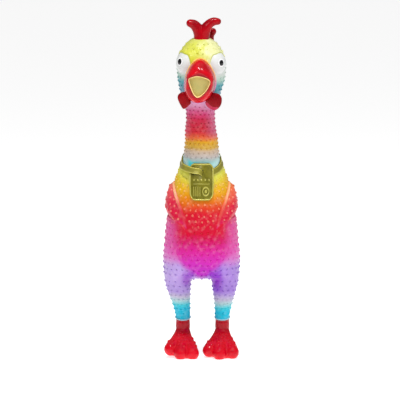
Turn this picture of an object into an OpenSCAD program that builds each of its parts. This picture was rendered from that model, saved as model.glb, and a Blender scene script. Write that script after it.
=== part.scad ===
// Hollow squeeze chicken, standing on flat soles.
// It faces -Y, its own left side is +X, and Z = 0 is the surface that it stands on.
// The skin is one moulding in the real toy. Here it is split where it flexes and where its paint
// or its moulded edges change: rigid stretches, with short soft stretches between them.

/* [Skin] */
// thickness of the moulded skin
wall = 2.5; // [1.5:0.1:4]
// corners round each stretch of skin
sides = 28; // [16:4:48]
// rows of corners between two key sections
rows = 2; // [1:1:5]
// gap between pieces that move against each other
gap = 0.3; // [0.1:0.05:1]

/* [Torso and neck] */
// widest half of the torso, across
torso_half_w = 45.2; // [30:0.1:70]
// deepest half of the torso, belly to back
torso_half_d = 40; // [25:0.5:60]
// underside of the torso, between the legs
crotch_z = 90; // [60:1:130]
// where the neck starts to bend
shoulder_z = 250; // [220:1:280]
// radius of the neck at its slimmest
neck_r = 16.9; // [12:0.1:25]
// length of each soft stretch of the neck
neck_flex = 18; // [12:1:30]
// length of the rigid stretch between them
neck_rigid = 10; // [6:1:20]

/* [Belly] */
// half width of the soft belly panel
belly_rx = 28; // [15:1:32]
// half height of the soft belly panel
belly_rz = 32; // [15:1:40]
// height of its centre
belly_z = 142; // [120:1:160]

/* [Head] */
// widest half of the head, across
head_half_w = 28.6; // [20:0.1:40]
// radius of the sphere that each eye dome is cut from
eye_ball_r = 16.3; // [14:0.1:24]
// turn of each eye away from straight ahead
eye_turn = 50; // [20:1:80]
// height of the eyes
eye_z = 346.3; // [330:0.1:360]
// diameter of the pupils
pupil_d = 6.8; // [3:0.1:10]
// turn of the beak and the eyes towards the toy's right
face_turn = 3; // [0:0.5:6]
// front of the beak
beak_tip_y = -44; // [-60:0.5:-38]
// half width of the open mouth
mouth_half_w = 13.5; // [8:0.1:15]
// lowest and highest points of the open mouth
mouth_low_z = 308.6; // [305:0.1:320]
mouth_high_z = 334.4; // [325:0.1:336]
// how far the mouth's floor lies behind the tip of the beak
mouth_depth = 7; // [6:0.5:16]

/* [Collar and tag] */
// height of the collar's middle at the sides of the neck
collar_z = 230.7; // [222:0.1:236]
// rise of the collar towards the back, per mm of depth
collar_slope = 0.49; // [0:0.01:0.8]
// height of the strap
collar_h = 7; // [4:0.5:12]
// thickness of the strap
collar_t = 1.8; // [1:0.1:3]
// width, height, thickness and corner radius of the tag
tag_w = 27.6; // [15:0.1:40]
tag_h = 43; // [20:0.5:60]
tag_t = 2.2; // [1:0.1:4]
tag_corner = 8.5; // [1:0.5:12]
// lower end of the tag
tag_low_z = 187; // [180:1:195]

/* [Legs and feet] */
// sideways place of each hip and each ankle
hip_x = 27.7; // [20:0.1:35]
ankle_x = 23.3; // [18:0.1:32]
// forward and backward place of both ankles
leg_y = 5; // [-5:0.5:15]
// radius of each leg where it leaves the torso, and at its ankle
hip_r = 15.6; // [10:0.1:20]
ankle_r = 8.4; // [6:0.1:12]
// lower end of the soft stretch at each hip
hip_flex_z = 71; // [60:1:80]
// upper and lower ends of the soft stretch at each ankle
ankle_top_z = 46; // [42:1:52]
ankle_low_z = 36; // [30:1:40]
// radius of the toe tips
toe_r = 8; // [5:0.1:10]

/* [Screamer] */
// outer radius of the barrel, which is the bore of its seat in the neck
barrel_r = 13; // [10:0.5:15]
// wall of the barrel
barrel_wall = 1.6; // [1:0.1:3]
// lower and upper ends of the barrel
barrel_low_z = 222; // [216:1:226]
barrel_high_z = 248; // [240:1:249]
// width, length and thickness of the reed
reed_w = 7; // [4:0.5:10]
reed_l = 17; // [10:0.5:20]
reed_t = 0.5; // [0.2:0.1:1]

/* [Hidden] */
design_torso_w = 45.2;
design_head_w = 28.6;
neck_y = 4;
seat_low_z = 226;
seat_high_z = 244;
flex_1_top = shoulder_z + neck_flex;
rigid_top = flex_1_top + neck_rigid;
head_z = rigid_top + neck_flex;
vent_z = 333;
lining_t = 1.6;
red = [0.75, 0.04, 0.12];
gold = [0.58, 0.56, 0.2];
white = [0.93, 0.93, 0.9];
cream = [0.8, 0.77, 0.5];

// Key sections: [height, half width, half depth, centre x, centre y]
torso_keys = [
    for (k = [
        [90, 8, 6.5, 4.2],
        [91.8, 22, 17, 4],
        [95.5, 34, 27, 3.6],
        [102, 42.5, 35, 3],
        [110, 45.2, 38.6, 2.4],
        [120, 45, 40, 2],
        [135, 43.4, 39.9, 2],
        [152, 42, 39, 2],
        [170, 39.8, 37.4, 2.2],
        [186, 38, 35.6, 2.4],
        [203, 33.5, 31.8, 2.8],
        [215, 29.4, 28.4, 3.2],
        [224, 26, 25.4, 3.6],
        [234, 22.6, 22.4, neck_y],
        [243, 20.9, 20.8, neck_y],
        [250, 20.2, 20, neck_y]
    ])
    [
        crotch_z + (k[0] - 90) * (shoulder_z - crotch_z) / 160,
        k[0] < 225 ? k[1] * torso_half_w / design_torso_w : k[1],
        k[0] < 225 ? k[2] * torso_half_d / 40 : k[2],
        0,
        k[3]
    ]
];
neck_keys = [
    [shoulder_z, 20.2, 20, 0, neck_y],
    [shoulder_z + neck_flex / 2, neck_r + 2.4, neck_r + 2.3, 0, neck_y],
    [flex_1_top, neck_r + 1.2, neck_r + 1.2, 0, neck_y],
    [rigid_top, neck_r, neck_r, 0, neck_y],
    [rigid_top + neck_flex / 2, neck_r + 0.1, neck_r + 0.2, 0, neck_y],
    [head_z, neck_r + 1.1, neck_r + 1.7, 0, neck_y]
];
head_keys = [
    for (k = [
        [0, 18, 18.6, neck_y],
        [6, 20.2, 21, 3.4],
        [13, 23, 23.6, 3],
        [22.7, 25.4, 26.2, 2.6],
        [32, 27.2, 28, 2.4],
        [42, 28.2, 29, 2.4],
        [51, 28.6, 29, 2.6],
        [59, 27.4, 27.6, 3],
        [65.2, 24.6, 25, 3.4],
        [70.5, 20, 20.6, 3.8],
        [75, 14.5, 15, neck_y],
        [78, 8, 8.3, neck_y],
        [79, 2.5, 2.6, neck_y]
    ])
    [
        head_z + k[0],
        k[1] * (k[0] > 0 ? head_half_w / design_head_w : 1),
        k[2],
        0,
        k[3]
    ]
];
thigh_keys = [
    [crotch_z - 1, hip_r, hip_r + 0.2, hip_x, leg_y],
    [crotch_z + 11, hip_r + 0.8, hip_r + 2.4, hip_x + 0.3, leg_y - 0.7],
    [crotch_z + 25, hip_r + 0.6, hip_r + 4.9, hip_x + 0.5, leg_y - 1.5],
    [crotch_z + 40, hip_r - 1.1, hip_r + 6.4, hip_x - 0.7, leg_y - 2]
];
leg_keys = [
    [ankle_low_z, ankle_r, ankle_r, ankle_x, leg_y],
    [40, ankle_r, ankle_r, ankle_x, leg_y],
    [45, ankle_r + 0.2, ankle_r + 0.2, ankle_x + 0.3, leg_y],
    [59, ankle_r + 1.8, ankle_r + 1.8, ankle_x + 1.7, leg_y],
    [hip_flex_z + 2, hip_r - 2.6, hip_r - 2.6, hip_x - 1.1, leg_y],
    [crotch_z - 1, hip_r, hip_r + 0.2, hip_x, leg_y]
];
// Key sections of the beak: [y, half width, lowest z, highest z]
beak_keys = [
    [beak_tip_y + 28, 18.2, 302, 352.4],
    [beak_tip_y + 18, 18.2, 301.4, 352.6],
    [beak_tip_y + 10, 17.9, 302, 348.6],
    [beak_tip_y + 5, 17.2, 303.4, 344.2],
    [beak_tip_y + 1.6, 16.2, 305, 340.4],
    [beak_tip_y, 14.8, 306.8, 337.2]
];
// Toes: [turn, reach of the tip's centre from the ankle, height of the tip's centre]
toes_left = [[-27, 34, 8.5], [-5, 39, 6.2], [19, 36, 7]];
toes_right = [[-27, 33, 10], [-4, 38, 6.4], [17, 38.5, 6.2]];

// ---------- curves and lofts ----------

// A smooth value between rows i and i + 1 of a table, by Catmull-Rom on every column.
function between(p, i, t) =
    let (
        a = p[max(i - 1, 0)],
        b = p[i],
        c = p[i + 1],
        d = p[min(i + 2, len(p) - 1)]
    )
    0.5 * (2 * b + (c - a) * t + (2 * a - 5 * b + 4 * c - d) * t * t
        + (3 * b - a - 3 * c + d) * t * t * t);

function refine(p, n) =
    concat([for (i = [0 : len(p) - 2]) for (k = [0 : n - 1]) between(p, i, k / n)], [p[len(p) - 1]]);

// The key sections drawn in by t on every side.
function inset(p, t) = [for (k = p) [k[0], max(k[1] - t, 0.8), max(k[2] - t, 0.8), k[3], k[4]]];

// The same sections mirrored to the other side of the body.
function sided(p, s) = [for (k = p) [k[0], k[1], k[2], s * k[3], k[4]]];

// Rows from z0 to z1 of a table that is already smooth.
function at_height(p, z) =
    [for (c = [0 : 4]) c == 0 ? z : lookup(z, [for (k = p) [k[0], k[c]]])];
function stretch(p, z0, z1) =
    concat([at_height(p, z0)], [for (k = p) if (k[0] > z0 + 1.2 && k[0] < z1 - 1.2) k], [at_height(p, z1)]);

function ring(k, n) =
    [for (j = [0 : n - 1]) [k[3] + k[1] * cos(360 * j / n), k[4] + k[2] * sin(360 * j / n), k[0]]];

// Triangles between ring a and ring b of n points each.
function band(a, b, n) =
    [
        for (j = [0 : n - 1])
        for (t = [[a * n + j, b * n + j, b * n + (j + 1) % n], [a * n + j, b * n + (j + 1) % n, a * n + (j + 1) % n]])
        t
    ];
function cap(a, n, up) = [for (j = [1 : n - 2]) up ? [a * n, a * n + j + 1, a * n + j] : [a * n, a * n + j, a * n + j + 1]];

// A closed solid through rings that run upwards.
module loft(rings) {
    n = len(rings[0]);
    m = len(rings);
    polyhedron(
        points = [for (r = rings) each r],
        faces = concat(
            cap(0, n, false),
            [for (i = [0 : m - 2]) each band(i, i + 1, n)],
            cap(m - 1, n, true)
        )
    );
}

module solid(keys) {
    loft([for (k = keys) ring(k, sides)]);
}

// A tube with open ends: up the outside, over the rim and down the inside.
module tube(keys, t) {
    outer = [for (k = keys) ring(k, sides)];
    inner = [for (k = inset(keys, t)) ring(k, sides)];
    m = len(keys);
    rings = concat(outer, [for (i = [m - 1 : -1 : 0]) inner[i]]);
    polyhedron(
        points = [for (r = rings) each r],
        faces = [for (i = [0 : 2 * m - 1]) each band(i, (i + 1) % (2 * m), sides)]
    );
}

torso_rows = refine(torso_keys, rows);
neck_rows = refine(neck_keys, rows);
head_rows = refine(head_keys, rows);
leg_rows = refine(leg_keys, rows);

// ---------- torso ----------

module torso_outer() {
    solid(torso_rows);
    for (s = [-1, 1]) solid(sided(refine(thigh_keys, rows), s));
}

module torso_hollow() {
    solid(stretch(inset(torso_rows, wall), crotch_z + wall, seat_low_z));
    for (s = [-1, 1]) {
        translate([0, 0, -0.01]) solid(sided(refine(inset(thigh_keys, wall), rows), s));
    }
    translate([0, neck_y, seat_low_z - 1]) cylinder(r = barrel_r, h = 30, $fn = 64);
    translate([0, neck_y, seat_high_z]) cylinder(r = 20 - wall, h = 10, $fn = 64);
}

module belly_plug(grow) {
    translate([0, 0, belly_z]) rotate([90, 0, 0]) linear_extrude(60) belly_outline(grow);
}

module belly_outline(grow) {
    polygon([for (a = [0 : 10 : 350]) [(belly_rx + grow) * cos(a), (belly_rz + grow) * sin(a)]]);
}

module torso_skin() {
    color([0.86, 0.12, 0.4])
    difference() {
        torso_outer();
        torso_hollow();
        belly_plug(gap);
    }
}

module belly_skin() {
    color([0.9, 0.1, 0.3])
    intersection() {
        difference() {
            solid(torso_rows);
            solid(stretch(inset(torso_rows, wall), crotch_z + wall, seat_low_z));
        }
        belly_plug(0);
    }
}

// A point on the torso, turned by a from straight ahead towards the side s, raised by out.
function on_torso(a, z, out, s) =
    let (k = at_height(torso_rows, z))
    [s * (k[1] + out) * sin(a), k[4] - (k[2] + out) * cos(a), z];

wing_low_z = 150;
wing_high_z = 206;
wing_steps = 12;
wing_columns = 10;
wing_t = 4.2;

// Front and back edges of the wing pad, as turns from straight ahead.
function wing_front(v) = 34 + 40 * v;
function wing_back(v) = 96 + 26 * v;
function wing_turn(u, v) = wing_front(v) + (wing_back(v) - wing_front(v)) * (0.5 + (u - 0.5) * (0.35 + 0.65 * pow(sin(180 * min(0.06 + 0.9 * v, 0.94)), 0.6)));

module wing(s) {
    n = 2 * (wing_columns + 1);
    // each row is a closed loop: out along the raised face, back along the torso
    loops = [
        for (i = [0 : wing_steps])
        let (
            v = i / wing_steps,
            z = wing_low_z + (wing_high_z - wing_low_z) * v,
            rise = pow(max(sin(180 * v), 0), 0.6)
        )
        concat(
            [
                for (j = [0 : wing_columns])
                let (u = j / wing_columns)
                on_torso(wing_turn(u, v), z, 0.4 + wing_t * rise * pow(max(sin(180 * u), 0), 0.5), s)
            ],
            [for (j = [wing_columns : -1 : 0]) on_torso(wing_turn(j / wing_columns, v), z, -0.1, s)]
        )
    ];
    loft(s > 0 ? loops : [for (l = loops) [for (j = [n - 1 : -1 : 0]) l[j]]]);
}

module wing_left() {
    color([0.93, 0.32, 0.35]) wing(1);
}

module wing_right() {
    color([0.93, 0.2, 0.4]) wing(-1);
}

// ---------- collar and tag ----------

tag_high_z = tag_low_z + tag_h;
// how far the back of the tag stands off the chest, at its lower end and at the collar
tag_low_off = 0.3;
tag_high_off = 2.4;
tag_rows = 16;
tag_columns = 8;
slot_half_w = 9.5;
slot_low_z = 214.5;
slot_high_z = 225;

function tag_off(z) = tag_low_off + (tag_high_off - tag_low_off) * min(max((z - tag_low_z) / 22, 0), 1);

// Half width of the tag: round lower corners, and a low arch on top.
function tag_half_w(z) =
    z < tag_low_z + tag_corner
    ? tag_w / 2 - tag_corner + sqrt(pow(tag_corner, 2) - pow(tag_corner + tag_low_z - z, 2))
    : z > tag_high_z - 9
    ? tag_w / 4 + tag_w / 4 * sqrt(max(1 - pow((z - tag_high_z + 9) / 9, 2), 0.02))
    : tag_w / 2;

// A point on the front (t = 1) or the back (t = 0) of the tag, x to the side of its middle.
function on_tag(x, z, t) =
    let (k = at_height(torso_rows, z), a = asin(x / (k[1] + 3)))
    on_torso(a, z, tag_off(z) + t * tag_t, 1);

module tag() {
    loops = [
        for (i = [0 : tag_rows])
        let (z = tag_low_z + 0.2 + (tag_h - 0.2) * (1 - cos(180 * i / tag_rows)) / 2, w = tag_half_w(z))
        concat(
            [for (j = [0 : tag_columns]) on_tag(w * (2 * j / tag_columns - 1), z, 1)],
            [for (j = [tag_columns : -1 : 0]) on_tag(w * (2 * j / tag_columns - 1), z, 0)]
        )
    ];
    color(gold)
    difference() {
        loft(loops);
        translate([-slot_half_w, -50, slot_low_z]) cube([2 * slot_half_w, 40, slot_high_z - slot_low_z]);
    }
}

// Height of the collar's plane where it meets the torso, found by stepping towards it.
function collar_height(a, n) =
    n == 0 ? collar_z : collar_z - collar_slope * cos(a) * at_height(torso_rows, collar_height(a, n - 1))[2];
collar_steps = 60;
over_tag = tag_high_off + tag_t + 0.4;

// The strap runs over the right part of the tag and goes down its slot, then on behind the tag.
function smooth(t) = let (u = min(max(t, 0), 1)) u * u * (3 - 2 * u);
function strap_off(a) = over_tag * smooth((a + 52) / 16) * (1 - smooth((a + 10) / 14));

module collar() {
    h = (collar_h - 0.6) / 2;
    loops = [
        for (i = [0 : collar_steps - 1])
        let (a = 360 * i / collar_steps - 180, z = collar_height(a, 5), off = strap_off(a))
        [
            on_torso(a, z - h, off, 1),
            on_torso(a, z + h, off, 1),
            on_torso(a, z + h, off + collar_t, 1),
            on_torso(a, z - h, off + collar_t, 1)
        ]
    ];
    color(gold)
    polyhedron(
        points = [for (l = loops) each l],
        faces = [for (i = [0 : collar_steps - 1]) each band(i, (i + 1) % collar_steps, 4)]
    );
}

// ---------- neck ----------

module neck_piece(z0, z1) {
    tube(stretch(neck_rows, z0, z1), wall);
}

module lower_neck_skin() {
    color([0.72, 0.65, 0.62]) neck_piece(shoulder_z, flex_1_top);
}

module middle_neck_skin() {
    color([0.85, 0.5, 0.25]) neck_piece(flex_1_top, rigid_top);
}

module upper_neck_skin() {
    color([0.8, 0.2, 0.35]) neck_piece(rigid_top, head_z);
}

// ---------- head ----------

module head_outer() {
    solid(head_rows);
}

module turned_face() {
    translate([0, neck_y, 0]) rotate([0, 0, -face_turn]) translate([0, -neck_y, 0]) children();
}

module vents() {
    turned_face() for (s = [-1, 1])
        translate([s * 5, -10, vent_z]) rotate([90, 0, 0]) cylinder(r = 1.5, h = 50, $fn = 24);
}

module head_skin() {
    color([0.9, 0.9, 0.5])
    difference() {
        head_outer();
        solid(concat(
            [at_height(inset(head_rows, wall), head_z) - [1, 0, 0, 0, 0]],
            stretch(inset(head_rows, wall), head_z, head_z + 79 - wall)
        ));
        // two vents let the air out of the head and into the mouth
        vents();
    }
}

// An egg-shaped ring that stands at y, slim at the top and full at the bottom.
function beak_ring(k, n, t) =
    [
        for (j = [0 : n - 1])
        let (
            a = -360 * j / n,
            half = (k[3] - k[2]) / 2 - t,
            mid = (k[3] + k[2]) / 2
        )
        [(k[1] - t) * sin(a) * (1 - 0.22 * cos(a)), k[0], mid + half * cos(a)]
    ];

module beak_solid(t) {
    turned_face() loft([for (k = refine(beak_keys, rows)) beak_ring(k, sides, t)]);
}

module mouth_outline() {
    hull() {
        for (s = [-1, 1]) translate([s * (mouth_half_w - 6.5), mouth_high_z - 6.5]) circle(6.5, $fn = 32);
        for (s = [-1, 1]) translate([s * (mouth_half_w - 7), mouth_high_z - 8.5]) circle(7, $fn = 32);
        translate([0, mouth_low_z + 6]) circle(6, $fn = 32);
    }
}

module mouth_prism(y0, y1) {
    turned_face() translate([0, y1, 0]) rotate([90, 0, 0]) linear_extrude(y1 - y0) mouth_outline();
}

module beak() {
    color(red)
    difference() {
        beak_solid(0);
        head_outer();
        mouth_prism(beak_tip_y - 5, beak_tip_y + 40);
        // hollow behind the mouth's floor
        intersection() {
            beak_solid(wall);
            turned_face() translate([-30, beak_tip_y + mouth_depth + lining_t, 290]) cube([60, 40, 80]);
        }
    }
}

module mouth_lining() {
    color(cream)
    difference() {
        mouth_prism(beak_tip_y + mouth_depth, beak_tip_y + mouth_depth + lining_t);
        vents();
    }
}

module wattle(x, z, w, h, turn) {
    difference() {
        translate([x, -23, z]) rotate([0, turn, 0]) hull() {
            translate([0, 0, -h / 2 + w / 2]) rotate([90, 0, 0]) cylinder(r = w / 2 - 1.2, h = 4.4, center = true, $fn = 32);
            translate([0, 0, -h / 2 + w / 2]) rotate([90, 0, 0]) cylinder(r = w / 2, h = 2, center = true, $fn = 32);
            translate([0, 0, h / 2 - w / 3]) rotate([90, 0, 0]) cylinder(r = w / 3, h = 4.4, center = true, $fn = 32);
        }
        head_outer();
        beak_solid(0);
    }
}

module wattle_left() {
    color(red * 0.8) wattle(15.5, 303, 17, 20, 22);
}

module wattle_right() {
    color(red * 0.8) wattle(-19, 304, 14, 19, -28);
}

eye_centre_r = 17.6;

module eye_place(s) {
    turned_face() translate([s * eye_centre_r * sin(eye_turn), 2.5 - eye_centre_r * cos(eye_turn), eye_z]) children();
}

module eye(s) {
    color(white)
    difference() {
        eye_place(s) sphere(r = eye_ball_r, $fn = 64);
        head_outer();
        beak_solid(0);
    }
}

module eye_left() {
    eye(1);
}

module eye_right() {
    eye(-1);
}

module pupil(s) {
    color([0.05, 0.05, 0.05])
    eye_place(s) rotate([10, 0, s * 46]) difference() {
        intersection() {
            sphere(r = eye_ball_r + 0.4, $fn = 64);
            rotate([90, 0, 0]) cylinder(r = pupil_d / 2, h = 30, $fn = 32);
        }
        sphere(r = eye_ball_r, $fn = 64);
    }
}

module pupil_left() {
    pupil(1);
}

module pupil_right() {
    pupil(-1);
}

// Points along the comb's lobes: [x, y, z, radius]
comb_right = [[-0.5, 0, 373, 8], [-3, 0, 382.5, 7.3], [-8, 0, 389.4, 5.9], [-13, 0, 391.9, 4.6]];
comb_left = [[1.5, 0, 374, 6.8], [5, 0, 384.5, 6.4], [10, 0, 391.6, 5.4], [18.2, 0, 394.6, 4]];
comb_peak = [13.6, 0, 395.3, 4.7];
comb_ridge = [[2, 2, 371.5, 5], [10, 12, 371.5, 4]];
comb_rear = [[10, 12, 371.5, 4], [13.4, 13, 381, 4.2]];

module lobe(p) {
    for (i = [0 : len(p) - 2]) hull() {
        for (k = [p[i], p[i + 1]]) translate([k[0], k[1], k[2]]) sphere(r = k[3], $fn = 20);
    }
}

module comb() {
    color(red)
    difference() {
        union() {
            lobe(comb_right);
            lobe([comb_left[0], comb_left[1], comb_left[2], comb_peak]);
            lobe([comb_peak, comb_left[3]]);
            lobe(comb_ridge);
            lobe(comb_rear);
        }
        head_outer();
    }
}

// ---------- legs ----------

module leg_piece(s, z0, z1) {
    tube(sided(stretch(leg_rows, z0, z1), s), wall);
}

module hip_skin_left() {
    color([0.7, 0.6, 0.86]) leg_piece(1, hip_flex_z, crotch_z - 1);
}

module hip_skin_right() {
    color([0.7, 0.6, 0.86]) leg_piece(-1, hip_flex_z, crotch_z - 1);
}

module leg_skin_left() {
    color([0.3, 0.72, 0.82]) leg_piece(1, ankle_top_z, hip_flex_z);
}

module leg_skin_right() {
    color([0.3, 0.72, 0.82]) leg_piece(-1, ankle_top_z, hip_flex_z);
}

module ankle_skin_left() {
    color(red) leg_piece(1, ankle_low_z, ankle_top_z);
}

module ankle_skin_right() {
    color(red) leg_piece(-1, ankle_low_z, ankle_top_z);
}

// how far the heel's ball stands behind the ankle, and how far the web's edge lies behind the toes
heel_reach = 13;
web_back = 3;
// lower end of the bore through the ankle
ankle_bore_z = 13;

// The tip of one toe, pulled back by b and drawn in by t.
module toe_tip(k, b, t) {
    rotate([0, 0, k[0]]) translate([0, b - k[1], k[2]]) sphere(r = toe_r - t, $fn = 20);
}

module heel(t) {
    translate([0, 0, ankle_low_z - 2]) cylinder(r = ankle_r - t, h = 2, $fn = 28);
    translate([0, heel_reach, toe_r - 2.4]) sphere(r = toe_r - t, $fn = 20);
}

module foot(toes) {
    difference() {
        union() {
            for (k = toes) hull() {
                heel(0);
                toe_tip(k, 0, 0);
            }
            // the web between the toes
            hull() {
                heel(0);
                for (k = toes) toe_tip(k, web_back, 1);
            }
        }
        translate([-60, -80, -30]) cube([120, 140, 30]);
        difference() {
            hull() {
                heel(wall);
                for (k = toes) toe_tip(k, web_back, wall + 1);
            }
            translate([-60, -80, -30]) cube([120, 140, 30 + wall]);
        }
        translate([0, 0, ankle_bore_z]) cylinder(r = ankle_r - wall, h = 40, $fn = 28);
    }
}

module foot_left() {
    color(red) translate([ankle_x, leg_y, 0]) foot(toes_left);
}

module foot_right() {
    color(red) translate([-ankle_x, leg_y, 0]) foot(toes_right);
}

// ---------- screamer, inside the neck ----------

module at_neck(z) {
    translate([0, neck_y, z]) children();
}

bed_r = 5.5;
bed_low_z = barrel_low_z;
bed_face_y = -1.2;
cap_t = 2.4;

module screamer_barrel() {
    color(white)
    difference() {
        union() {
            at_neck(barrel_low_z) cylinder(r = barrel_r, h = barrel_high_z - barrel_low_z, $fn = 64);
            at_neck(seat_low_z - 2.4) cylinder(r = barrel_r + 1.6, h = 2.4, $fn = 64);
        }
        at_neck(barrel_low_z + 2) cylinder(r = barrel_r - barrel_wall, h = 60, $fn = 64);
        // the reed bed stands in this hole
        at_neck(barrel_low_z - 1) cylinder(r = bed_r, h = 10, $fn = 48);
    }
}

module screamer_cap() {
    color(white)
    difference() {
        union() {
            at_neck(barrel_high_z) cylinder(r = barrel_r, h = cap_t, $fn = 64);
            at_neck(barrel_high_z - 3) cylinder(r = barrel_r - barrel_wall, h = 3.1, $fn = 64);
        }
        at_neck(barrel_high_z - 4) cylinder(r = barrel_r - 2 * barrel_wall, h = 4, $fn = 64);
        for (i = [0 : 5]) at_neck(barrel_high_z - 1) rotate([0, 0, 60 * i])
            translate([5.5, 0, 0]) cylinder(r = 1.8, h = 9, $fn = 24);
        at_neck(barrel_high_z - 1) cylinder(r = 1.8, h = 9, $fn = 24);
    }
}

// A half-round trough, closed at its upper end, with the air slot in its flat front face.
module reed_bed() {
    color(white)
    difference() {
        at_neck(bed_low_z) cylinder(r = bed_r, h = 22, $fn = 48);
        translate([-20, neck_y - 20 + bed_face_y, bed_low_z + 2]) cube([40, 20, 40]);
        at_neck(bed_low_z - 1) translate([-2, bed_face_y + 1.2, 0]) cube([4, 3.4, 20]);
        at_neck(bed_low_z + 8) translate([-2, bed_face_y - 1, 0]) cube([4, 3, 11]);
    }
}

module reed() {
    color([0.85, 0.85, 0.8])
    translate([-reed_w / 2, neck_y + bed_face_y - gap - reed_t, bed_low_z + 4]) cube([reed_w, reed_t, reed_l]);
}

// Holds the lower end of the reed against its bed.
module reed_wedge() {
    color(white)
    translate([-reed_w / 2, neck_y + bed_face_y - 2 * gap - reed_t - 2.2, bed_low_z + 2])
        cube([reed_w, 2.2, 5]);
}

// ---------- what is drawn ----------

torso_skin();
belly_skin();
wing_left();
wing_right();
collar();
tag();
lower_neck_skin();
middle_neck_skin();
upper_neck_skin();
head_skin();
comb();
beak();
mouth_lining();
wattle_left();
wattle_right();
eye_left();
eye_right();
pupil_left();
pupil_right();
hip_skin_left();
hip_skin_right();
leg_skin_left();
leg_skin_right();
ankle_skin_left();
ankle_skin_right();
foot_left();
foot_right();
screamer_barrel();
screamer_cap();
reed_bed();
reed();
reed_wedge();
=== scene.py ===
import math

import bmesh
import bpy
import numpy as np
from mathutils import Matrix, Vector
from mathutils.bvhtree import BVHTree


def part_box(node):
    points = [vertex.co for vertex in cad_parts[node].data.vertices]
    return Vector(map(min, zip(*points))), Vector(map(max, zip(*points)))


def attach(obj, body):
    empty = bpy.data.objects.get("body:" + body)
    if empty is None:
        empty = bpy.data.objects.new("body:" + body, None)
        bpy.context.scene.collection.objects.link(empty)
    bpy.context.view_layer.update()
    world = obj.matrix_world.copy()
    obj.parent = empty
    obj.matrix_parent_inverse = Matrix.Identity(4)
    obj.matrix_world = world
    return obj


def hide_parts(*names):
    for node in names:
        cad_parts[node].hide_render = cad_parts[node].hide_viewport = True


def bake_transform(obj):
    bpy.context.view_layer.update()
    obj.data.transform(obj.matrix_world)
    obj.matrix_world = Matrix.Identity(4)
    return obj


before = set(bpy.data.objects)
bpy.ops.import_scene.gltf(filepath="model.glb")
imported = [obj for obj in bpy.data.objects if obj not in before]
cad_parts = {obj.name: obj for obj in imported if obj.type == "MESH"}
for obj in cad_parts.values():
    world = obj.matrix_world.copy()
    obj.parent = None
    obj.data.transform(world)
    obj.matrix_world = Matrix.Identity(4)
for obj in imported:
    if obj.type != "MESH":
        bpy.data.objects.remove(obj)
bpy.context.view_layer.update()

# Looks of the squeeze chicken. Shapes are worked out in millimetres in the frame of the packed
# model and become metres only when a piece is made. The skin is lofted, fused and smoothed as one
# surface, studded, and then split where it bends, so that no seam shows at rest.

MM = 0.001


def box_mm(node):
    low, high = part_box(node)
    return np.array(low) / MM, np.array(high) / MM


SIDES = (("left", 1), ("right", -1))

# ---------- places from the frame ----------

HIP_TOP = box_mm("hip_skin_left")[1][2]
ANKLE_LOW, ANKLE_TOP = (b[2] for b in box_mm("ankle_skin_left"))
ANKLE_X, LEG_Y, _ = sum(box_mm("ankle_skin_left")) / 2
SHOULDER = box_mm("lower_neck_skin")[0][2]
NECK_FLEX_TOP = box_mm("lower_neck_skin")[1][2]
NECK_FLEX_2 = box_mm("upper_neck_skin")[0][2]
HEAD_Z = box_mm("upper_neck_skin")[1][2]
NECK_Y = sum(b[1] for b in box_mm("middle_neck_skin")) / 2
TAG_LOW, TAG_HIGH = box_mm("tag")
# height at which the skin of the ankle starts to bend
ANKLE_LEAN = (0.8, 1.7)
FACE_TURN = math.radians(-3)

# Sections: [height, half width, half depth, centre y] up the torso, the neck and the head
COLUMN = [
    [90, 8, 6.5, 4.2], [91.8, 22, 17, 4], [95.5, 34, 27, 3.6], [102, 42.5, 35, 3],
    [110, 44.8, 38.6, 2.4], [120, 44.5, 40, 2], [135, 42.8, 39.9, 2], [152, 41.3, 39, 2],
    [170, 39.1, 37.4, 2.2], [186, 37.3, 35.6, 2.4], [203, 32.8, 31.4, 2.8],
    [215, 28.3, 27.8, 3.2], [224, 24.9, 24.9, 3.6], [234, 21.4, 21.8, 4],
    [243, 20, 20.2, 4], [250, 19.2, 19.4, 4], [259, 18.6, 18.8, 4], [268, 17.6, 17.9, 4],
    [278, 16.6, 16.8, 4], [287, 16.7, 17, 4], [296, 17.8, 18.5, 4], [302, 19.8, 20.8, 3.4],
    [309, 23, 23.4, 3], [318.7, 25.6, 26, 2.6], [328, 27.4, 27.8, 2.4],
    [338, 28.3, 28.8, 2.4], [346, 28, 28.6, 2.6], [354, 26.5, 26.8, 3],
    [360, 23.9, 24.2, 3.4], [365.5, 20.2, 20.6, 3.8], [370.5, 15.6, 15.8, 4], [374, 10.6, 10.8, 4],
    [375.6, 4.5, 4.6, 4],
]
# Sections up one leg and into its thigh: [height, half width, half depth, centre x, centre y]
LEG = [
    [40, 8.4, 8.4, 23.3, 5], [45, 8.6, 8.6, 23.6, 5], [59, 10.2, 10.2, 25, 5],
    [73, 13, 13.2, 26.6, 5], [84, 15, 16, 27.5, 4.6], [92, 16, 20.5, 27.8, 4], [101, 16.6, 25.5, 27.8, 3.6],
    [115, 16.4, 29, 27.6, 3], [130, 14.5, 30, 26, 3],
]

# ---------- surfaces in millimetres ----------


def refine(rows, n):
    """Rows of a table drawn finer by Catmull-Rom on every column."""
    p = np.array(rows, float)
    out = []
    for i in range(len(p) - 1):
        a, b, c, d = p[max(i - 1, 0)], p[i], p[i + 1], p[min(i + 2, len(p) - 1)]
        for t in np.arange(n) / n:
            out.append(0.5 * (2 * b + (c - a) * t + (2 * a - 5 * b + 4 * c - d) * t * t
                              + (3 * b - a - 3 * c + d) * t ** 3))
    return np.array(out + [p[-1]])


def closed_curve(points, n):
    """n points round a closed Catmull-Rom curve."""
    p = np.array(points, float)
    t = np.arange(n) * len(p) / n
    i, t = t.astype(int), (t % 1)[:, None]
    a, b, c, d = (p[(i + k) % len(p)] for k in (-1, 0, 1, 2))
    return 0.5 * (2 * b + (c - a) * t + (2 * a - 5 * b + 4 * c - d) * t ** 2
                  + (3 * b - a - 3 * c + d) * t ** 3)


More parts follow.
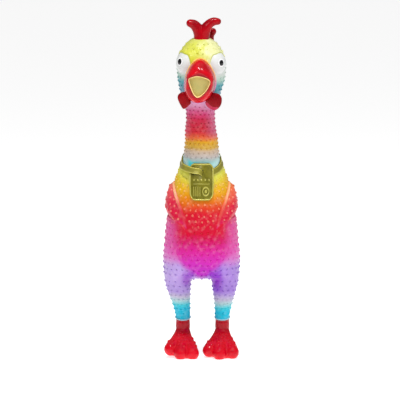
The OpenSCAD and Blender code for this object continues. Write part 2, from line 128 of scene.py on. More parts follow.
def smooth(x, low=0.0, high=1.0):
    """0 at low, 1 at high, smooth between them."""
    t = np.clip((np.asarray(x, float) - low) / (high - low), 0, 1)
    return t * t * (3 - 2 * t)


def bump(x, width):
    """1 at nought, falling to nothing a few widths away."""
    return np.exp(-((np.asarray(x, float) / width) ** 2))


def around(n):
    """n even turns round a circle, in radians."""
    return np.arange(n) * 2 * math.pi / n


def unit(v):
    return v / np.maximum(np.linalg.norm(v, axis=-1, keepdims=True), 1e-9)


class Surface:
    """Points, faces of four corners (a triangle repeats its last), normals and a mark per point."""

    def __init__(self, verts, faces, normals=None, mark=None):
        self.verts = np.asarray(verts, float)
        self.faces = np.asarray([list(f) + [f[-1]] * (4 - len(f)) for f in faces])
        self.normals = self.face_normals() if normals is None else normals
        self.mark = np.zeros(len(self.verts)) if mark is None else np.asarray(mark, float)

    def face_normals(self):
        a, b, c, d = (self.verts[self.faces[:, k]] for k in range(4))
        across = np.cross(c - a, d - b)
        total = np.zeros_like(self.verts)
        for k in range(4):
            for axis in range(3):
                total[:, axis] += np.bincount(self.faces[:, k], across[:, axis], len(self.verts))
        return unit(total)

    def part(self, keep):
        used, where = np.unique(self.faces[keep], return_inverse=True)
        return Surface(self.verts[used], where.reshape(-1, 4), self.normals[used], self.mark[used])

    def centres(self):
        return self.verts[self.faces].mean(1)

    def tree(self):
        return BVHTree.FromPolygons(self.verts.tolist(), corners(self.faces))

    def flipped(self):
        return Surface(self.verts, self.faces[:, ::-1], -self.normals, self.mark)


def corners(faces):
    return [f[:3] if f[2] == f[3] else f for f in faces.tolist()]


def joined(parts):
    offsets = np.cumsum([0] + [len(p.verts) for p in parts[:-1]])
    return Surface(
        np.concatenate([p.verts for p in parts]),
        np.concatenate([p.faces + o for p, o in zip(parts, offsets)]),
        np.concatenate([p.normals for p in parts]),
        np.concatenate([p.mark for p in parts]),
    )


def grid(points, wrap=True, caps=True, mark=None):
    """A surface through rows of points, each row closed if wrap, ends closed by fans if caps."""
    points = np.asarray(points, float)
    m, n = points.shape[:2]
    verts = points.reshape(-1, 3)
    marks = np.zeros(m * n) if mark is None else np.asarray(mark, float).reshape(-1)
    faces = []
    for i in range(m - 1):
        for j in range(n if wrap else n - 1):
            k = (j + 1) % n
            faces.append([i * n + j, i * n + k, (i + 1) * n + k, (i + 1) * n + j])
    if caps:
        verts = np.concatenate([verts, [points[0].mean(0), points[-1].mean(0)]])
        marks = np.concatenate([marks, [marks[0], marks[-1]]])
        for j in range(n):
            k = (j + 1) % n
            faces.append([m * n, k, j])
            faces.append([m * n + 1, (m - 1) * n + j, (m - 1) * n + k])
    return Surface(verts, faces, mark=marks)


def ellipses(rows, n=96):
    """Closed loft through [height, half width, half depth, centre x, centre y]."""
    a = around(n)
    return grid([
        np.stack([x + w * np.cos(a), y + d * np.sin(a), np.full(n, z)], 1)
        for z, w, d, x, y in rows
    ])


def ball(centre, radius, n=48):
    rows = [[-math.cos(t), math.sin(t)] for t in np.linspace(0.05, math.pi - 0.05, n // 2)]
    return ellipses([[centre[2] + radius * c, radius * s, radius * s, centre[0], centre[1]]
                     for c, s in rows], n)


def shown(name, mesh):
    """A new object in the scene."""
    made = bpy.data.objects.new(name, mesh)
    bpy.context.scene.collection.objects.link(made)
    return made


def fused(parts, voxel, passes):
    """One smooth skin round overlapping closed solids."""
    whole = joined(parts)
    mesh = bpy.data.meshes.new("raw")
    mesh.from_pydata((whole.verts * MM).tolist(), [], corners(whole.faces))
    raw = shown("raw", mesh)
    remesh = raw.modifiers.new("fuse", "REMESH")
    remesh.mode = "VOXEL"
    remesh.voxel_size = voxel * MM
    made = raw.evaluated_get(bpy.context.evaluated_depsgraph_get()).to_mesh()
    verts = np.empty(len(made.vertices) * 3)
    made.vertices.foreach_get("co", verts)
    faces = [list(p.vertices) for p in made.polygons]
    bpy.data.objects.remove(raw)
    skin = Surface(verts.reshape(-1, 3) / MM, faces)
    relax(skin, passes)
    return skin


def relax(skin, passes, shrink=0.5, grow=-0.53, weight=1.0):
    """Smooths a skin without thinning it: each pass draws in and then swells back."""
    f = skin.faces
    a = np.concatenate([f[:, k] for k in range(4)])
    b = np.concatenate([f[:, (k + 1) % 4] for k in range(4)])
    a, b = np.concatenate([a, b]), np.concatenate([b, a])
    n = len(skin.verts)
    count = np.maximum(np.bincount(a, minlength=n), 1)[:, None]
    for share in [shrink, grow] * passes:
        mean = np.stack([np.bincount(a, skin.verts[b, k], n) for k in range(3)], 1) / count
        skin.verts += share * weight * (mean - skin.verts)
    skin.normals = skin.face_normals()


# ---------- studs ----------

STUD_R = 1.36
STUD_H = 1.02
# the dome's outline, in shares of its radius and height, with a fillet at its foot
STUD_OUTLINE = [(1.3, -0.16), (0.98, 0.3), (0.84, 0.62), (0.58, 0.87), (0.29, 0.97)]
STUD_SIDES = 9


def studs(places, size=1.0):
    """Small domes. places is a list of (point, normal)."""
    if not places:
        return None
    p = np.array([q[0] for q in places])
    n = unit(np.array([q[1] for q in places]))
    # hand-carved unevenness, the same on every run
    uneven = np.sin(p @ np.array([[1.9, 3.1, 2.3], [2.7, 1.3, 3.7], [3.3, 2.1, 1.7]]))
    p = p + 0.5 * np.cross(n, uneven)
    size = (size * (1 + 0.13 * uneven[:, 0]))[:, None]
    u = unit(np.cross(n, [0.31, 0.22, 0.92]))
    v = np.cross(n, u)
    a = around(STUD_SIDES)
    side = u[:, None] * np.cos(a)[None, :, None] + v[:, None] * np.sin(a)[None, :, None]
    rings, normals = [], []
    leans = [0.0, 0.75, 0.6, 0.4, 0.18]
    for (r, h), lean in zip(STUD_OUTLINE, leans):
        rings.append(p[:, None] + side * r * STUD_R * size[:, None] + n[:, None] * h * STUD_H * size[:, None])
        normals.append(unit(side * lean + n[:, None] * (1 - lean)))
    m, s = len(STUD_OUTLINE), STUD_SIDES
    verts = np.concatenate([np.stack(rings, 1).reshape(len(p), -1, 3), (p + n * STUD_H * size)[:, None]], 1)
    norms = np.concatenate([np.stack(normals, 1).reshape(len(p), -1, 3), n[:, None]], 1)
    mark = np.tile(np.append(np.repeat([0, 0.5, 1, 1, 1], s), 1), (len(p), 1))
    one = []
    for i in range(m - 1):
        for j in range(s):
            k = (j + 1) % s
            one.append([i * s + j, i * s + k, (i + 1) * s + k, (i + 1) * s + j])
    one += [[(m - 1) * s + j, (m - 1) * s + (j + 1) % s, m * s, m * s] for j in range(s)]
    faces = np.array(one)[None] + (np.arange(len(p)) * (m * s + 1))[:, None, None]
    return Surface(verts.reshape(-1, 3), faces.reshape(-1, 4), norms.reshape(-1, 3), mark.reshape(-1))


def hit(skin, tree, origin, direction):
    """Where a ray meets a skin, with the skin's smooth normal there."""
    place, _, face, _ = tree.ray_cast(Vector(origin), Vector(direction))
    if place is None:
        return None
    return np.array(place), unit(skin.normals[skin.faces[face]].mean(0))


def ring_places(skin, tree, z, count, offset, centre, reach, rise=0.0):
    """Stud places round a vertical axis, cast inwards from reach away. rise lifts the row's back."""
    found = []
    for j in range(count):
        a = 2 * math.pi * (j + offset) / count
        out = np.array([math.sin(a), -math.cos(a), 0])
        lift = rise * (1 - math.cos(a))
        got = hit(skin, tree, np.array([*centre, z + lift]) + out * reach, -out)
        if got and np.linalg.norm(got[0][:2] - centre) > 4:
            found.append(got)
    return found


# ---------- features of the skin ----------

EYE_C = np.array([12.9, -8.6, 346.3])
EYE_R = 16.3
EYE_AXIS = np.array([math.sin(math.radians(50)), -math.cos(math.radians(50)), 0])
# sideways in the plane of an eye's rim, towards the beak
EYE_SIDE = np.array([-EYE_AXIS[1], EYE_AXIS[0], 0]) * -1
EYE_RIM = 13.4
# the lid's height over the eye's middle, and how far it falls for each millimetre towards the beak
LID_HIGH = 12.6
LID_FALL = 0.24
# how far outside the white a place is for each millimetre above the lid
LID_SHARE = 0.88


def eye_place(points):
    """Distance from the nearer eye's axis, distance outside its white, and its lid's share."""
    v = np.abs(points * [1, 0, 0]) + points * [0, 1, 1] - EYE_C
    along = v @ EYE_AXIS
    rho = np.linalg.norm(v - along[:, None] * EYE_AXIS, axis=1)
    rho = np.where(along > 2, rho, 99.0)
    lid = v[:, 2] - LID_HIGH + LID_FALL * np.maximum(v @ EYE_SIDE, 0)
    outside = np.where(along > 2, np.maximum(rho - EYE_RIM, LID_SHARE * lid), 99.0)
    toward_beak = smooth(v @ EYE_SIDE, -6, 2)
    lidded = smooth(v[:, 2], 8 - 12 * toward_beak, 12 - 8 * toward_beak)
    return rho, outside, lidded


def raise_brows(skin):
    """Swells the lids and brows round the whites of the eyes."""
    rho, outside, lidded = eye_place(skin.verts)
    height = 1.6 * smooth(outside, -0.5, 0.7) * np.exp(-np.maximum(outside - 2.2, 0) / 2.2)
    skin.verts += skin.normals * (height * lidded * (rho < 30))[:, None]
    skin.normals = skin.face_normals()


# where the raised line round a thigh runs, as a share of thigh()
THIGH_LINE = 0.985


def thigh(points):
    """1 on the outline of the thigh's swelling, less inside it."""
    x, z = np.abs(points[:, 0]), points[:, 2]
    return np.hypot((x - 40) / 31, (z - 115) / 51)


def raise_thighs(skin):
    """Swells the front of each thigh, with a raised line along its edge."""
    e = thigh(skin.verts)
    z = skin.verts[:, 2]
    inside = smooth(e, 1.06, 0.94) * smooth(z, 100, 140)
    bead = bump(e - THIGH_LINE, 0.028) * smooth(z, 128, 146)
    front = smooth(skin.verts[:, 1], 6, -8)
    skin.verts += skin.normals * ((1.1 * inside + 0.9 * bead) * front)[:, None]
    skin.normals = skin.face_normals()


column_rows = refine(COLUMN, 10)


def section(z):
    """Half width, half depth and centre y of the column at height z."""
    return [np.interp(z, column_rows[:, 0], column_rows[:, k]) for k in (1, 2, 3)]


def on_column(turn, z, out):
    """A point on the column, turned (radians) from straight ahead towards +X, raised by out."""
    w, d, y = section(z)
    return np.stack([(w + out) * np.sin(turn), y - (d + out) * np.cos(turn),
                     np.broadcast_to(z, np.shape(turn)).astype(float)], -1)


COLLAR_Z = 230.7
COLLAR_SLOPE = 0.49
# y where the collar's middle plane is at COLLAR_Z
COLLAR_Y = 3.8
COLLAR_H = 7.0
COLLAR_T = 1.8
# studs keep this far above and below the collar's middle plane
COLLAR_CLEAR = COLLAR_H / 2 + 2.4


def above_collar(points):
    """Height above the collar's middle plane."""
    return points[:, 2] - COLLAR_Z - COLLAR_SLOPE * (points[:, 1] - COLLAR_Y)


# ---------- the two skins ----------


def with_side(rows, s):
    return [[z, w, d, s * x, y] for z, w, d, x, y in rows]


def body_skin():
    """The skin of the torso and both legs as one, without its studs."""
    low = [[r[0], r[1], r[2], 0, r[3]] for r in column_rows if r[0] < 262]
    legs = [ellipses(with_side(refine(LEG, 6), s)) for s in (1, -1)]
    skin = fused([ellipses(low)] + legs, voxel=1.15, passes=9)
    z = skin.verts[:, 2]
    crease = smooth(z, 76, 90) * smooth(z, 122, 104)
    crease = crease * smooth(skin.verts[:, 1], 4, -8)
    relax(skin, 40, 0.5, 0.5, crease[:, None])
    raise_thighs(skin)
    return skin


def upper_skin():
    """The skin of the neck, the head and the eyes as one, without its studs."""
    high = [[r[0], r[1], r[2], 0, r[3]] for r in column_rows if r[0] > 206]
    eyes = [ball(EYE_C * [s, 1, 1], EYE_R) for s in (1, -1)]
    skin = fused([ellipses(high)] + eyes, voxel=0.8, passes=7)
    raise_brows(skin)
    return skin


body = body_skin()
upper = upper_skin()
body_tree = body.tree()
upper_tree = upper.tree()

# Edges of a wing from its low front tip to its top: [turn from straight ahead in degrees, height]
WING_FRONT = [[22, 148], [25, 157], [29, 166], [35, 175], [43, 184], [54, 193], [68, 201], [86, 206.5]]
WING_BACK = [[22, 148], [38, 155.5], [55, 162.5], [73, 167], [90, 170.5], [105, 178], [111, 190], [104, 201],
             [86, 206.5]]
WING_H = 4.6
# the column's radius at the wings
WING_R = 39


def along(points, shares):
    """Points at shares of the length of an open smooth curve."""
    fine = refine(points, 12)
    length = np.append(0, np.cumsum(np.linalg.norm(np.diff(fine, axis=0), axis=1)))
    return np.stack([np.interp(shares * length[-1], length, fine[:, k]) for k in (0, 1)], 1)


def flat_wing(edge):
    """A wing's edge in millimetres round the column and up it."""
    turn, z = np.radians(edge[..., 0]), edge[..., 1]
    return np.stack([turn * WING_R, z], -1)


wing_outline = flat_wing(np.concatenate([refine(WING_FRONT, 6), refine(WING_BACK, 6)[::-1]]))


def in_wing(turn, z, margin):
    """How far inside the wing's outline a place on the column lies, less margin, in millimetres."""
    p = np.array([abs(turn) * WING_R, z])
    a, b = wing_outline, np.roll(wing_outline, -1, 0)
    step = b - a
    t = np.clip(np.sum((p - a) * step, 1) / np.maximum(np.sum(step * step, 1), 1e-9), 0, 1)
    near = np.linalg.norm(p - a - step * t[:, None], axis=1).min()
    rows = (a[:, 1] > z) != (b[:, 1] > z)
    cut = a[rows, 0] + (z - a[rows, 1]) / step[rows, 1] * step[rows, 0]
    inside = np.sum(cut > p[0]) % 2
    return (near if inside else -near) - margin


def wing_surface(s):
    """The raised pad of one wing, on the side s, with a bead along its front edge."""
    shares = smooth(np.linspace(0, 1, 72)) * 0.35 + np.linspace(0, 1, 72) * 0.65
    front, back = along(WING_FRONT, shares), along(WING_BACK, shares)
    u = np.linspace(0, 1, 58)[None, :, None]
    place = front[:, None] * (1 - u) + back[:, None] * u
    width = np.linalg.norm(flat_wing(front) - flat_wing(back), axis=1)[:, None]
    ahead, behind = width * u[..., 0], width * (1 - u[..., 0])
    step = 0.35 + 0.75 * smooth(place[..., 1], 152, 182)
    pad = step * smooth(ahead, 0, 1.2) + (WING_H - 1.1) * smooth(ahead, 3.5, 16)
    bead = 1.1 * bump(ahead - 2.1, 1.5) * smooth(ahead, 0, 0.8) + 0.6 * bump(behind - 1.8, 1.3)
    bead = bead * (0.1 + 0.9 * smooth(place[..., 1], 160, 188))
    out = pad * np.sqrt(np.clip(behind / 9, 0, 1)) + bead * smooth(width, 1, 8) - 0.25
    out[:, 0] = out[:, -1] = -0.6
    out[0] = out[-1] = -0.6
    rows = on_column(np.radians(place[..., 0]), place[..., 1], out)
    rows[..., 0] *= s
    # the mark for the painted highlight along the front edge, and a fainter one along the back
    edge = np.maximum(bump(ahead - 2.1, 1.9), 0.75 * bump(behind - 2, 1.3)) * smooth(width, 2, 10)
    pad = grid(rows, wrap=False, caps=False, mark=edge * -1)
    return pad.flipped() if s < 0 else pad


def near_face(p):
    """Is a place under an eye, a brow, the beak, a wattle or the comb?"""
    _, outside, lidded = eye_place(p[None])
    if outside[0] < 2.2 + 2.2 * lidded[0]:
        return True
    x, y, z = p
    beak = y < 0 and abs(x) < 21.5 * math.sqrt(max(1 - ((z - 326) / 29) ** 2, 0))
    wattle = y < 0 and 293 < z < 314 and 10 < abs(x)
    comb = z > 369 and abs(x - 1) < 12
    return beak or wattle or comb


def torso_studs():
    """Studs of the torso and of both wings, in staggered rows."""
    skin, on_wings = [], {1: [], -1: []}
    wings = {s: wing_surface(s) for s in on_wings}
    trees = {s: w.tree() for s, w in wings.items()}
    for i, row in enumerate(np.arange(97.5, 232, 6.5)):
        middle = float(section(row)[2])
        rise = 11 * float(smooth(row, 110, 195))
        for p, n in ring_places(body, body_tree, row, 34, 0.5 * (i % 2), (0, middle), 90, rise):
            w, d, y = section(p[2])
            turn = math.atan2(p[0] / w, -(p[1] - y) / d)
            behind_tag = p[1] < 0 and abs(p[0]) < 16 and TAG_LOW[2] - 2.5 < p[2]
            if behind_tag or above_collar(p[None])[0] > -COLLAR_CLEAR:
                continue
            if in_wing(turn, p[2], -2.2) <= 0:
                off_line = abs(thigh(p[None])[0] - THIGH_LINE) >= 0.05
                if off_line or p[1] >= 0 or p[2] <= 146:
                    skin.append((p, n))
            elif in_wing(turn, p[2], 3.4) > 0:
                s = 1 if turn > 0 else -1
                out = unit(np.array([p[0], p[1] - y, 0]))
                got = hit(wings[s], trees[s], p + out * 30, -out)
                if got:
                    on_wings[s].append(got)
    for x in (-9, 0, 9):
        for y in (-6, 3, 12):
            got = hit(body, body_tree, (x + 4 * (y == 3), y, 60), (0, 0, 1))
            if got and got[0][2] < 100:
                skin.append(got)
    return skin, {s: joined([w, studs(on_wings[s])]) for s, w in wings.items()}


def leg_studs():
    found = []
    for s in (1, -1):
        for i, z in enumerate(np.arange(48.5, 93, 5.6)):
            x = s * np.interp(z, [r[0] for r in LEG], [r[3] for r in LEG])
            found += ring_places(body, body_tree, z, 13, 0.5 * (i % 2) + 0.2, (x, LEG_Y), 21)
    return found


def upper_studs():
    found = []
    for i, z in enumerate(np.arange(236, 371, 4.9)):
        count = 21 if z < 304 else 28
        count = count if z < 362 else 18
        y = float(section(z)[2])
        for p, n in ring_places(upper, upper_tree, z, count, 0.5 * (i % 2), (0, y), 60):
            if above_collar(p[None])[0] > COLLAR_CLEAR and not near_face(p):
                found.append((p, n))
    found.append(hit(upper, upper_tree, (8.5, 3, 400), (0, 0, -1)))
    return found


def apart(places, least):
    """The places that keep at least this far from those before them."""
    kept = []
    for p, n in places:
        if all(np.abs(p - q[0]).max() > least or np.linalg.norm(p - q[0]) > least for q in kept[-160:]):
            kept.append((p, n))
    return kept


torso_places, wing_parts = torso_studs()
torso_places = apart(torso_places, 4.4)
leg_places = apart(torso_places + leg_studs(), 4.4)[len(torso_places):]
body = joined([body, studs(torso_places), studs(leg_places, 0.85)])
upper = joined([upper, studs(apart(upper_studs(), 3.6), 0.86)])

# ---------- materials ----------


def colour(r, g, b):
    """Eight-bit display colour as a linear one."""
    return tuple(c / 12.92 if c <= 0.04045 else ((c + 0.055) / 1.055) ** 2.4
                 for c in (r / 255, g / 255, b / 255)) + (1,)


class Value:
    """A number that varies over a surface. Its sums and products become math nodes."""

    def __init__(self, paint, socket):
        self.paint = paint
        self.socket = socket

    def __add__(self, other):
        return self.paint.math("ADD", self, other)

    def __sub__(self, other):
        return self.paint.math("SUBTRACT", self, other)

    def __rsub__(self, other):
        return self.paint.math("SUBTRACT", other, self)

    def __mul__(self, other):
        return self.paint.math("MULTIPLY", self, other)

    def __abs__(self):
        return self.paint.math("ABSOLUTE", self)

    def at_least(self, other):
        """The larger of two values."""
        return self.paint.math("MAXIMUM", self, other)

    def step(self, low, high):
        """0 at low, 1 at high, smooth between them."""
        p = self.paint
        return p.value("ShaderNodeMapRange", self, low, high, 0, 1, interpolation_type="SMOOTHSTEP")


class Paint:
    """Builds a node material. Inputs are Values, sockets, numbers or colours."""

    def __init__(self, name, roughness, coat=0.0, coat_roughness=0.1, specular=0.16):
        self.material = bpy.data.materials.new(name)
        self.material.use_nodes = True
        self.tree = self.material.node_tree
        self.shader = self.tree.nodes["Principled BSDF"]
        self.shader.inputs["Roughness"].default_value = roughness
        self.shader.inputs["Coat Weight"].default_value = coat
        self.shader.inputs["Coat Roughness"].default_value = coat_roughness
        self.shader.inputs["Specular IOR Level"].default_value = specular

    def plug(self, value, socket):
        if isinstance(value, Value):
            value = value.socket
        if isinstance(value, bpy.types.NodeSocket):
            self.tree.links.new(value, socket)
        elif value is not None:
            socket.default_value = value

    def add(self, kind, *values, **settings):
        """A node of some kind, with values on its first inputs."""
        node = self.tree.nodes.new(kind)
        for key, value in settings.items():
            setattr(node, key, value)
        for value, socket in zip(values, node.inputs):
            self.plug(value, socket)
        return node

    def value(self, kind, *values, output=0, **settings):
        return Value(self, self.add(kind, *values, **settings).outputs[output])

    def math(self, operation, a, b=None):
        return self.value("ShaderNodeMath", a, b, operation=operation)

    def ramp(self, value, stops):
        """Colour along value, from stops of (place, colour) in order."""
        low, high = stops[0][0], stops[-1][0]
        share = self.value("ShaderNodeMapRange", value, low, high, 0, 1)
        node = self.add("ShaderNodeValToRGB", share)
        elements = node.color_ramp.elements
        while len(elements) < len(stops):
            elements.new(0.5)
        for element, (place, tint) in zip(elements, stops):
            element.position = (place - low) / (high - low)
            element.color = colour(*tint)
        return node.outputs[0]

    def mix(self, share, *tints):
        """From the first tint to the second as share goes from 0 to 1."""
        node = self.tree.nodes.new("ShaderNodeMix")
        node.data_type = "RGBA"
        self.plug(share, node.inputs[0])
        for tint, socket in zip(tints, node.inputs[6:8]):
            self.plug(colour(*tint) if isinstance(tint, tuple) else tint, socket)
        return node.outputs[2]

    def place(self):
        """Rest position in millimetres, as (vector, x, y, z)."""
        vector = self.add("ShaderNodeAttribute", attribute_name="rest").outputs["Vector"]
        split = self.add("ShaderNodeSeparateXYZ", vector)
        return [vector] + [Value(self, out) for out in split.outputs]

    def mark(self):
        return self.value("ShaderNodeAttribute", output="Fac", attribute_name="mark")

    def noise(self, vector, size, detail=2.0):
        """Noise from 0 to 1 whose lumps are about size millimetres."""
        node = self.add("ShaderNodeTexNoise", vector)
        node.inputs["Scale"].default_value = 1 / size
        node.inputs["Detail"].default_value = detail
        return Value(self, node.outputs["Fac"])

    def bumped(self, height, distance, strength):
        node = self.tree.nodes.new("ShaderNodeBump")
        node.inputs["Strength"].default_value = strength
        node.inputs["Distance"].default_value = distance
        self.plug(height, node.inputs["Height"])
        self.plug(node.outputs[0], self.shader.inputs["Normal"])

    def done(self, tint):
        self.plug(tint, self.shader.inputs["Base Color"])
        return self.material


# Paint by height: (millimetres, colour)
FRONT = [
    (90, (132, 22, 164)), (102, (176, 28, 178)), (114, (204, 32, 176)), (128, (212, 24, 146)),
    (138, (204, 12, 102)), (148, (206, 6, 50)), (171, (208, 14, 42)), (178, (216, 68, 34)),
    (185, (222, 114, 20)), (201, (228, 176, 30)), (214, (226, 194, 40)), (224, (206, 200, 70)),
]
# height of the deep violet where each leg meets the belly
CROTCH_Z = 93.0
NECK = [
    (226, (110, 205, 205)), (236, (190, 182, 178)), (243, (200, 176, 150)), (246.5, (208, 168, 74)),
    (253.5, (218, 164, 34)), (258.5, (228, 108, 56)), (265.5, (214, 48, 62)), (279, (206, 42, 76)),
    (288, (208, 62, 124)), (296, (212, 140, 178)), (303, (196, 150, 190)), (310, (170, 170, 190)),
]
CHEEK = [
    (302, (190, 150, 190)), (307, (120, 156, 180)), (314, (68, 140, 156)), (321, (78, 160, 170)),
    (327, (168, 198, 184)), (333, (206, 214, 206)), (346, (220, 223, 220)),
]
CROWN = [(338, (200, 198, 86)), (352, (204, 204, 54)), (366, (208, 210, 84)), (374, (204, 210, 104))]
LEGS = [
    (43, (10, 182, 210)), (57, (14, 192, 220)), (62, (70, 204, 216)), (67, (168, 208, 212)),
    (72, (186, 180, 206)), (78, (170, 146, 212)), (96, (176, 150, 214)), (112, (180, 152, 216)),
    (122, (206, 140, 208)), (134, (222, 92, 182)),
]
WING = [
    (152, (222, 40, 120)), (164, (206, 10, 56)), (184, (216, 34, 68)), (196, (238, 92, 96)),
    (206, (240, 130, 96)),
]
BEAK_LINE = [
    (306, (214, 150, 196)), (322, (214, 150, 190)), (338, (246, 190, 120)), (352, (250, 200, 100)),
]


def body_colours(p, x, z, wander, drop):
    """Bands of the torso, the thighs and the legs."""
    width = abs(x)
    front = p.mix(drop.step(-17, -5) * 0.8, p.ramp(z + wander, FRONT), (224, 226, 90))
    # the bands lie a little lower on the left leg
    legs = p.ramp(wander * 0.5 + z + (x.step(-5, 5) * 4.4 + 2.2), LEGS)
    inner = width.step(29, 19) * 0.5 + 0.45
    legs = p.mix(x.step(-4, 6) * z.step(70, 78) * z.step(128, 100) * inner, legs, (136, 76, 200))
    edge = width + wander - (z * 0.95 - 83)
    below = z.step(98, 90) * width.step(12, 18)
    low = p.mix(edge.step(-7, 7).at_least(below) * z.step(140, 124), front, legs)
    flank = width.step(22, 38) * z.step(104, 126) * (width * -0.5 + z).step(154, 136)
    low = p.mix(flank * 0.7, low, (222, 92, 178))
    corner = width.step(6, 11) * width.step(27, 17) * abs(z - CROTCH_Z).step(16, 5)
    return p.mix(corner * (x.step(-6, 6) * 0.1 + 0.78), low, (134, 40, 182))


def neck_colours(p, x, y, z, wander, drop):
    """Bands of the neck, paler and bluer round its sides and just above the collar."""
    side = x.step(2, 17).at_least(x.step(-9, -18) * 0.5) * z.step(252, 266)
    neck = p.mix(side * 0.5, p.ramp(wander * 0.6 + z, NECK), (196, 128, 168))
    neck = p.mix(drop.step(11, 4.5) * 0.72, neck, (204, 236, 234))
    patch = x.step(-1, -6) * x.step(-18, -13) * (drop + wander * 0.4).step(12, 8) * y.step(0, -8)
    return p.mix(patch * 0.85, neck, (50, 204, 214))


def head_colours(p, vector, x, y, z, cheek):
    """Yellow crown, pale on its left, over the cheeks."""
    pale = (p.noise(vector, 9) * 26 + x).step(8, 24) * 0.62
    crown = p.mix(pale, p.ramp(z, CROWN), (234, 236, 196))
    # the crown reaches down between the eyes
    ahead = y.step(4, -6)
    hairline = abs(x) * ahead * -0.6 + (ahead * 12 + z)
    return p.mix(hairline.step(351.5, 348.5), crown, cheek)


def eye_whites(p, tint, x, y, z, slant):
    """Paints the whites of the eyes under their lids, and a line of painted shade along each lid."""
    v = p.add("ShaderNodeCombineXYZ", abs(x), y, z).outputs[0]
    v = p.add("ShaderNodeVectorMath", v, tuple(EYE_C), operation="SUBTRACT").outputs[0]
    ahead, sideways = (
        p.value("ShaderNodeVectorMath", v, tuple(way), output="Value", operation="DOT_PRODUCT")
        for way in (EYE_AXIS, EYE_SIDE)
    )
    reach = p.value("ShaderNodeVectorMath", v, output="Value", operation="LENGTH")
    rho = p.math("SQRT", reach * reach - ahead * ahead)
    lid = sideways.at_least(0) * LID_FALL + (z - (EYE_C[2] + LID_HIGH))
    outside = (rho - EYE_RIM).at_least(lid * LID_SHARE)
    front_half = ahead.step(1, 3)
    tint = p.mix(outside.step(0.1, -0.3) * front_half * slant.step(322, 336), tint, (218, 220, 218))
    # painted shade along the lid, where its step shades the white
    line = abs(outside - 0.15).step(0.8, 0.1) * front_half * z.step(346, 351)
    return p.mix(line * 0.7, tint, (176, 182, 60))


def mottled(p, vector, tint, paler):
    """The cloudiness of airbrushed paint."""
    return p.mix(p.noise(vector, 5, 3).step(0.45, 0.75) * 0.08, tint, paler)


def grained(p, vector):
    """The fine grain of moulded vinyl."""
    p.bumped(p.noise(vector, 0.9), 0.00012, 0.5)


def rainbow_skin():
    """Bands of airbrushed colour over the whole skin, laid out by rest position."""
    p = Paint("rainbow_vinyl", 0.32, coat=0.05, coat_roughness=0.12)
    vector, x, y, z = p.place()
    width = abs(x)
    wander = p.noise(vector, 17, 3) * 9 - 4.5
    # height above the collar's slanting plane
    drop = z - (y * COLLAR_SLOPE + (COLLAR_Z - COLLAR_Y * COLLAR_SLOPE))
    low, neck = body_colours(p, x, z, wander, drop), neck_colours(p, x, y, z, wander, drop)
    tint = p.mix(drop.step(-1, 1), low, neck)
    # white cheeks that turn teal
    slant = x * 0.12 + (width * -0.2 + (z + 2.5))
    head = head_colours(p, vector, x, y, z, p.ramp(wander * 0.4 + slant, CHEEK))
    tint = mottled(p, vector, p.mix((width * 0.25 + z).step(303, 309), tint, head), (255, 240, 235))
    # the studs' tips are paler on the chest, a painted highlight, and deeper elsewhere
    chest = z.step(152, 162) * z.step(214, 206)
    tip = p.mark().step(0.3, 0.9)
    tint = p.mix(tip * chest * 0.27, tint, (255, 190, 150))
    deep = tip * (1 - chest) * (z.step(60, 90) * 0.3 + 0.2)
    tint = p.mix(deep, tint, p.add("ShaderNodeGamma", tint, 1.5).outputs[0])
    tint = eye_whites(p, tint, x, y, z, slant)
    # a painted highlight along the rolled rim at the foot of each leg
    tint = p.mix(p.mark().step(-0.3, -0.9) * 0.7, tint, (176, 214, 222))
    grained(p, vector)
    return p.done(tint)


def wing_paint():
    """Pink-red wings, orange at their upper front, with a painted highlight along the edge."""
    p = Paint("wing_vinyl_paint", 0.32, coat=0.05, coat_roughness=0.12)
    vector, x, _, z = p.place()
    high = z + (p.noise(vector, 14, 3) * 12 - 6)
    warm = x.step(-20, 24) * (high - abs(x)).step(138, 170)
    tint = p.mix(warm * 0.7, p.ramp(high, WING), (240, 124, 50))
    tint = mottled(p, vector, tint, (255, 235, 225))
    # a painted highlight on the studs' tips
    tint = p.mix(p.mark().step(0.3, 0.9) * 0.32, tint, (255, 200, 160))
    # a painted highlight along the raised front edge, which fades towards the tip
    edge = p.mark().step(-0.1, -1) * (z.step(174, 202) * 0.8 + 0.04)
    grained(p, vector)
    return p.done(p.mix(edge, tint, (252, 214, 152)))


def gloss_red(name, bright, dark, wrinkles=0.25, coat=0.26, ankle=False):
    """Wet-looking red vinyl with slight hand-painted unevenness. Marked parts are paler."""
    p = Paint(name, 0.26, coat=coat, coat_roughness=0.04, specular=0.08)
    vector, _, _, z = p.place()
    tint = p.mix(p.noise(vector, 11, 3).step(0.3, 0.75), bright, dark)
    tint = p.mix(p.mark().step(0.3, 0.9), tint, (186, 44, 76))
    if ankle:
        tint = p.mix(z.step(23, 31), tint, (180, 2, 28))
    p.bumped(p.noise(vector, 2.6, 3), 0.0013, wrinkles)
    return p.done(tint)


def beak_paint():
    """Gloss red with an oversprayed outline and a bare, pale cut edge round the mouth."""
    p = Paint("beak_vinyl_paint", 0.22, coat=0.35, coat_roughness=0.04, specular=0.1)
    vector, _, _, z = p.place()
    mark = p.mark()
    tint = p.mix(p.noise(vector, 12).step(0.35, 0.75), (210, 5, 26), (174, 4, 22))
    tint = p.mix(mark.step(0.07, 0.04), tint, p.ramp(z, BEAK_LINE))
    # a darker ring towards the lip: the lip's deeper red with painted shade where the upper bill overhangs
    # the mouth
    tint = p.mix(mark.step(0.72, 0.95) * 0.7, tint, (120, 3, 18))
    tint = p.mix(mark.step(1.01, 1.05), tint, (250, 214, 146))
    p.bumped(p.noise(vector, 3.4), 0.0006, 0.2)
    return p.done(tint)


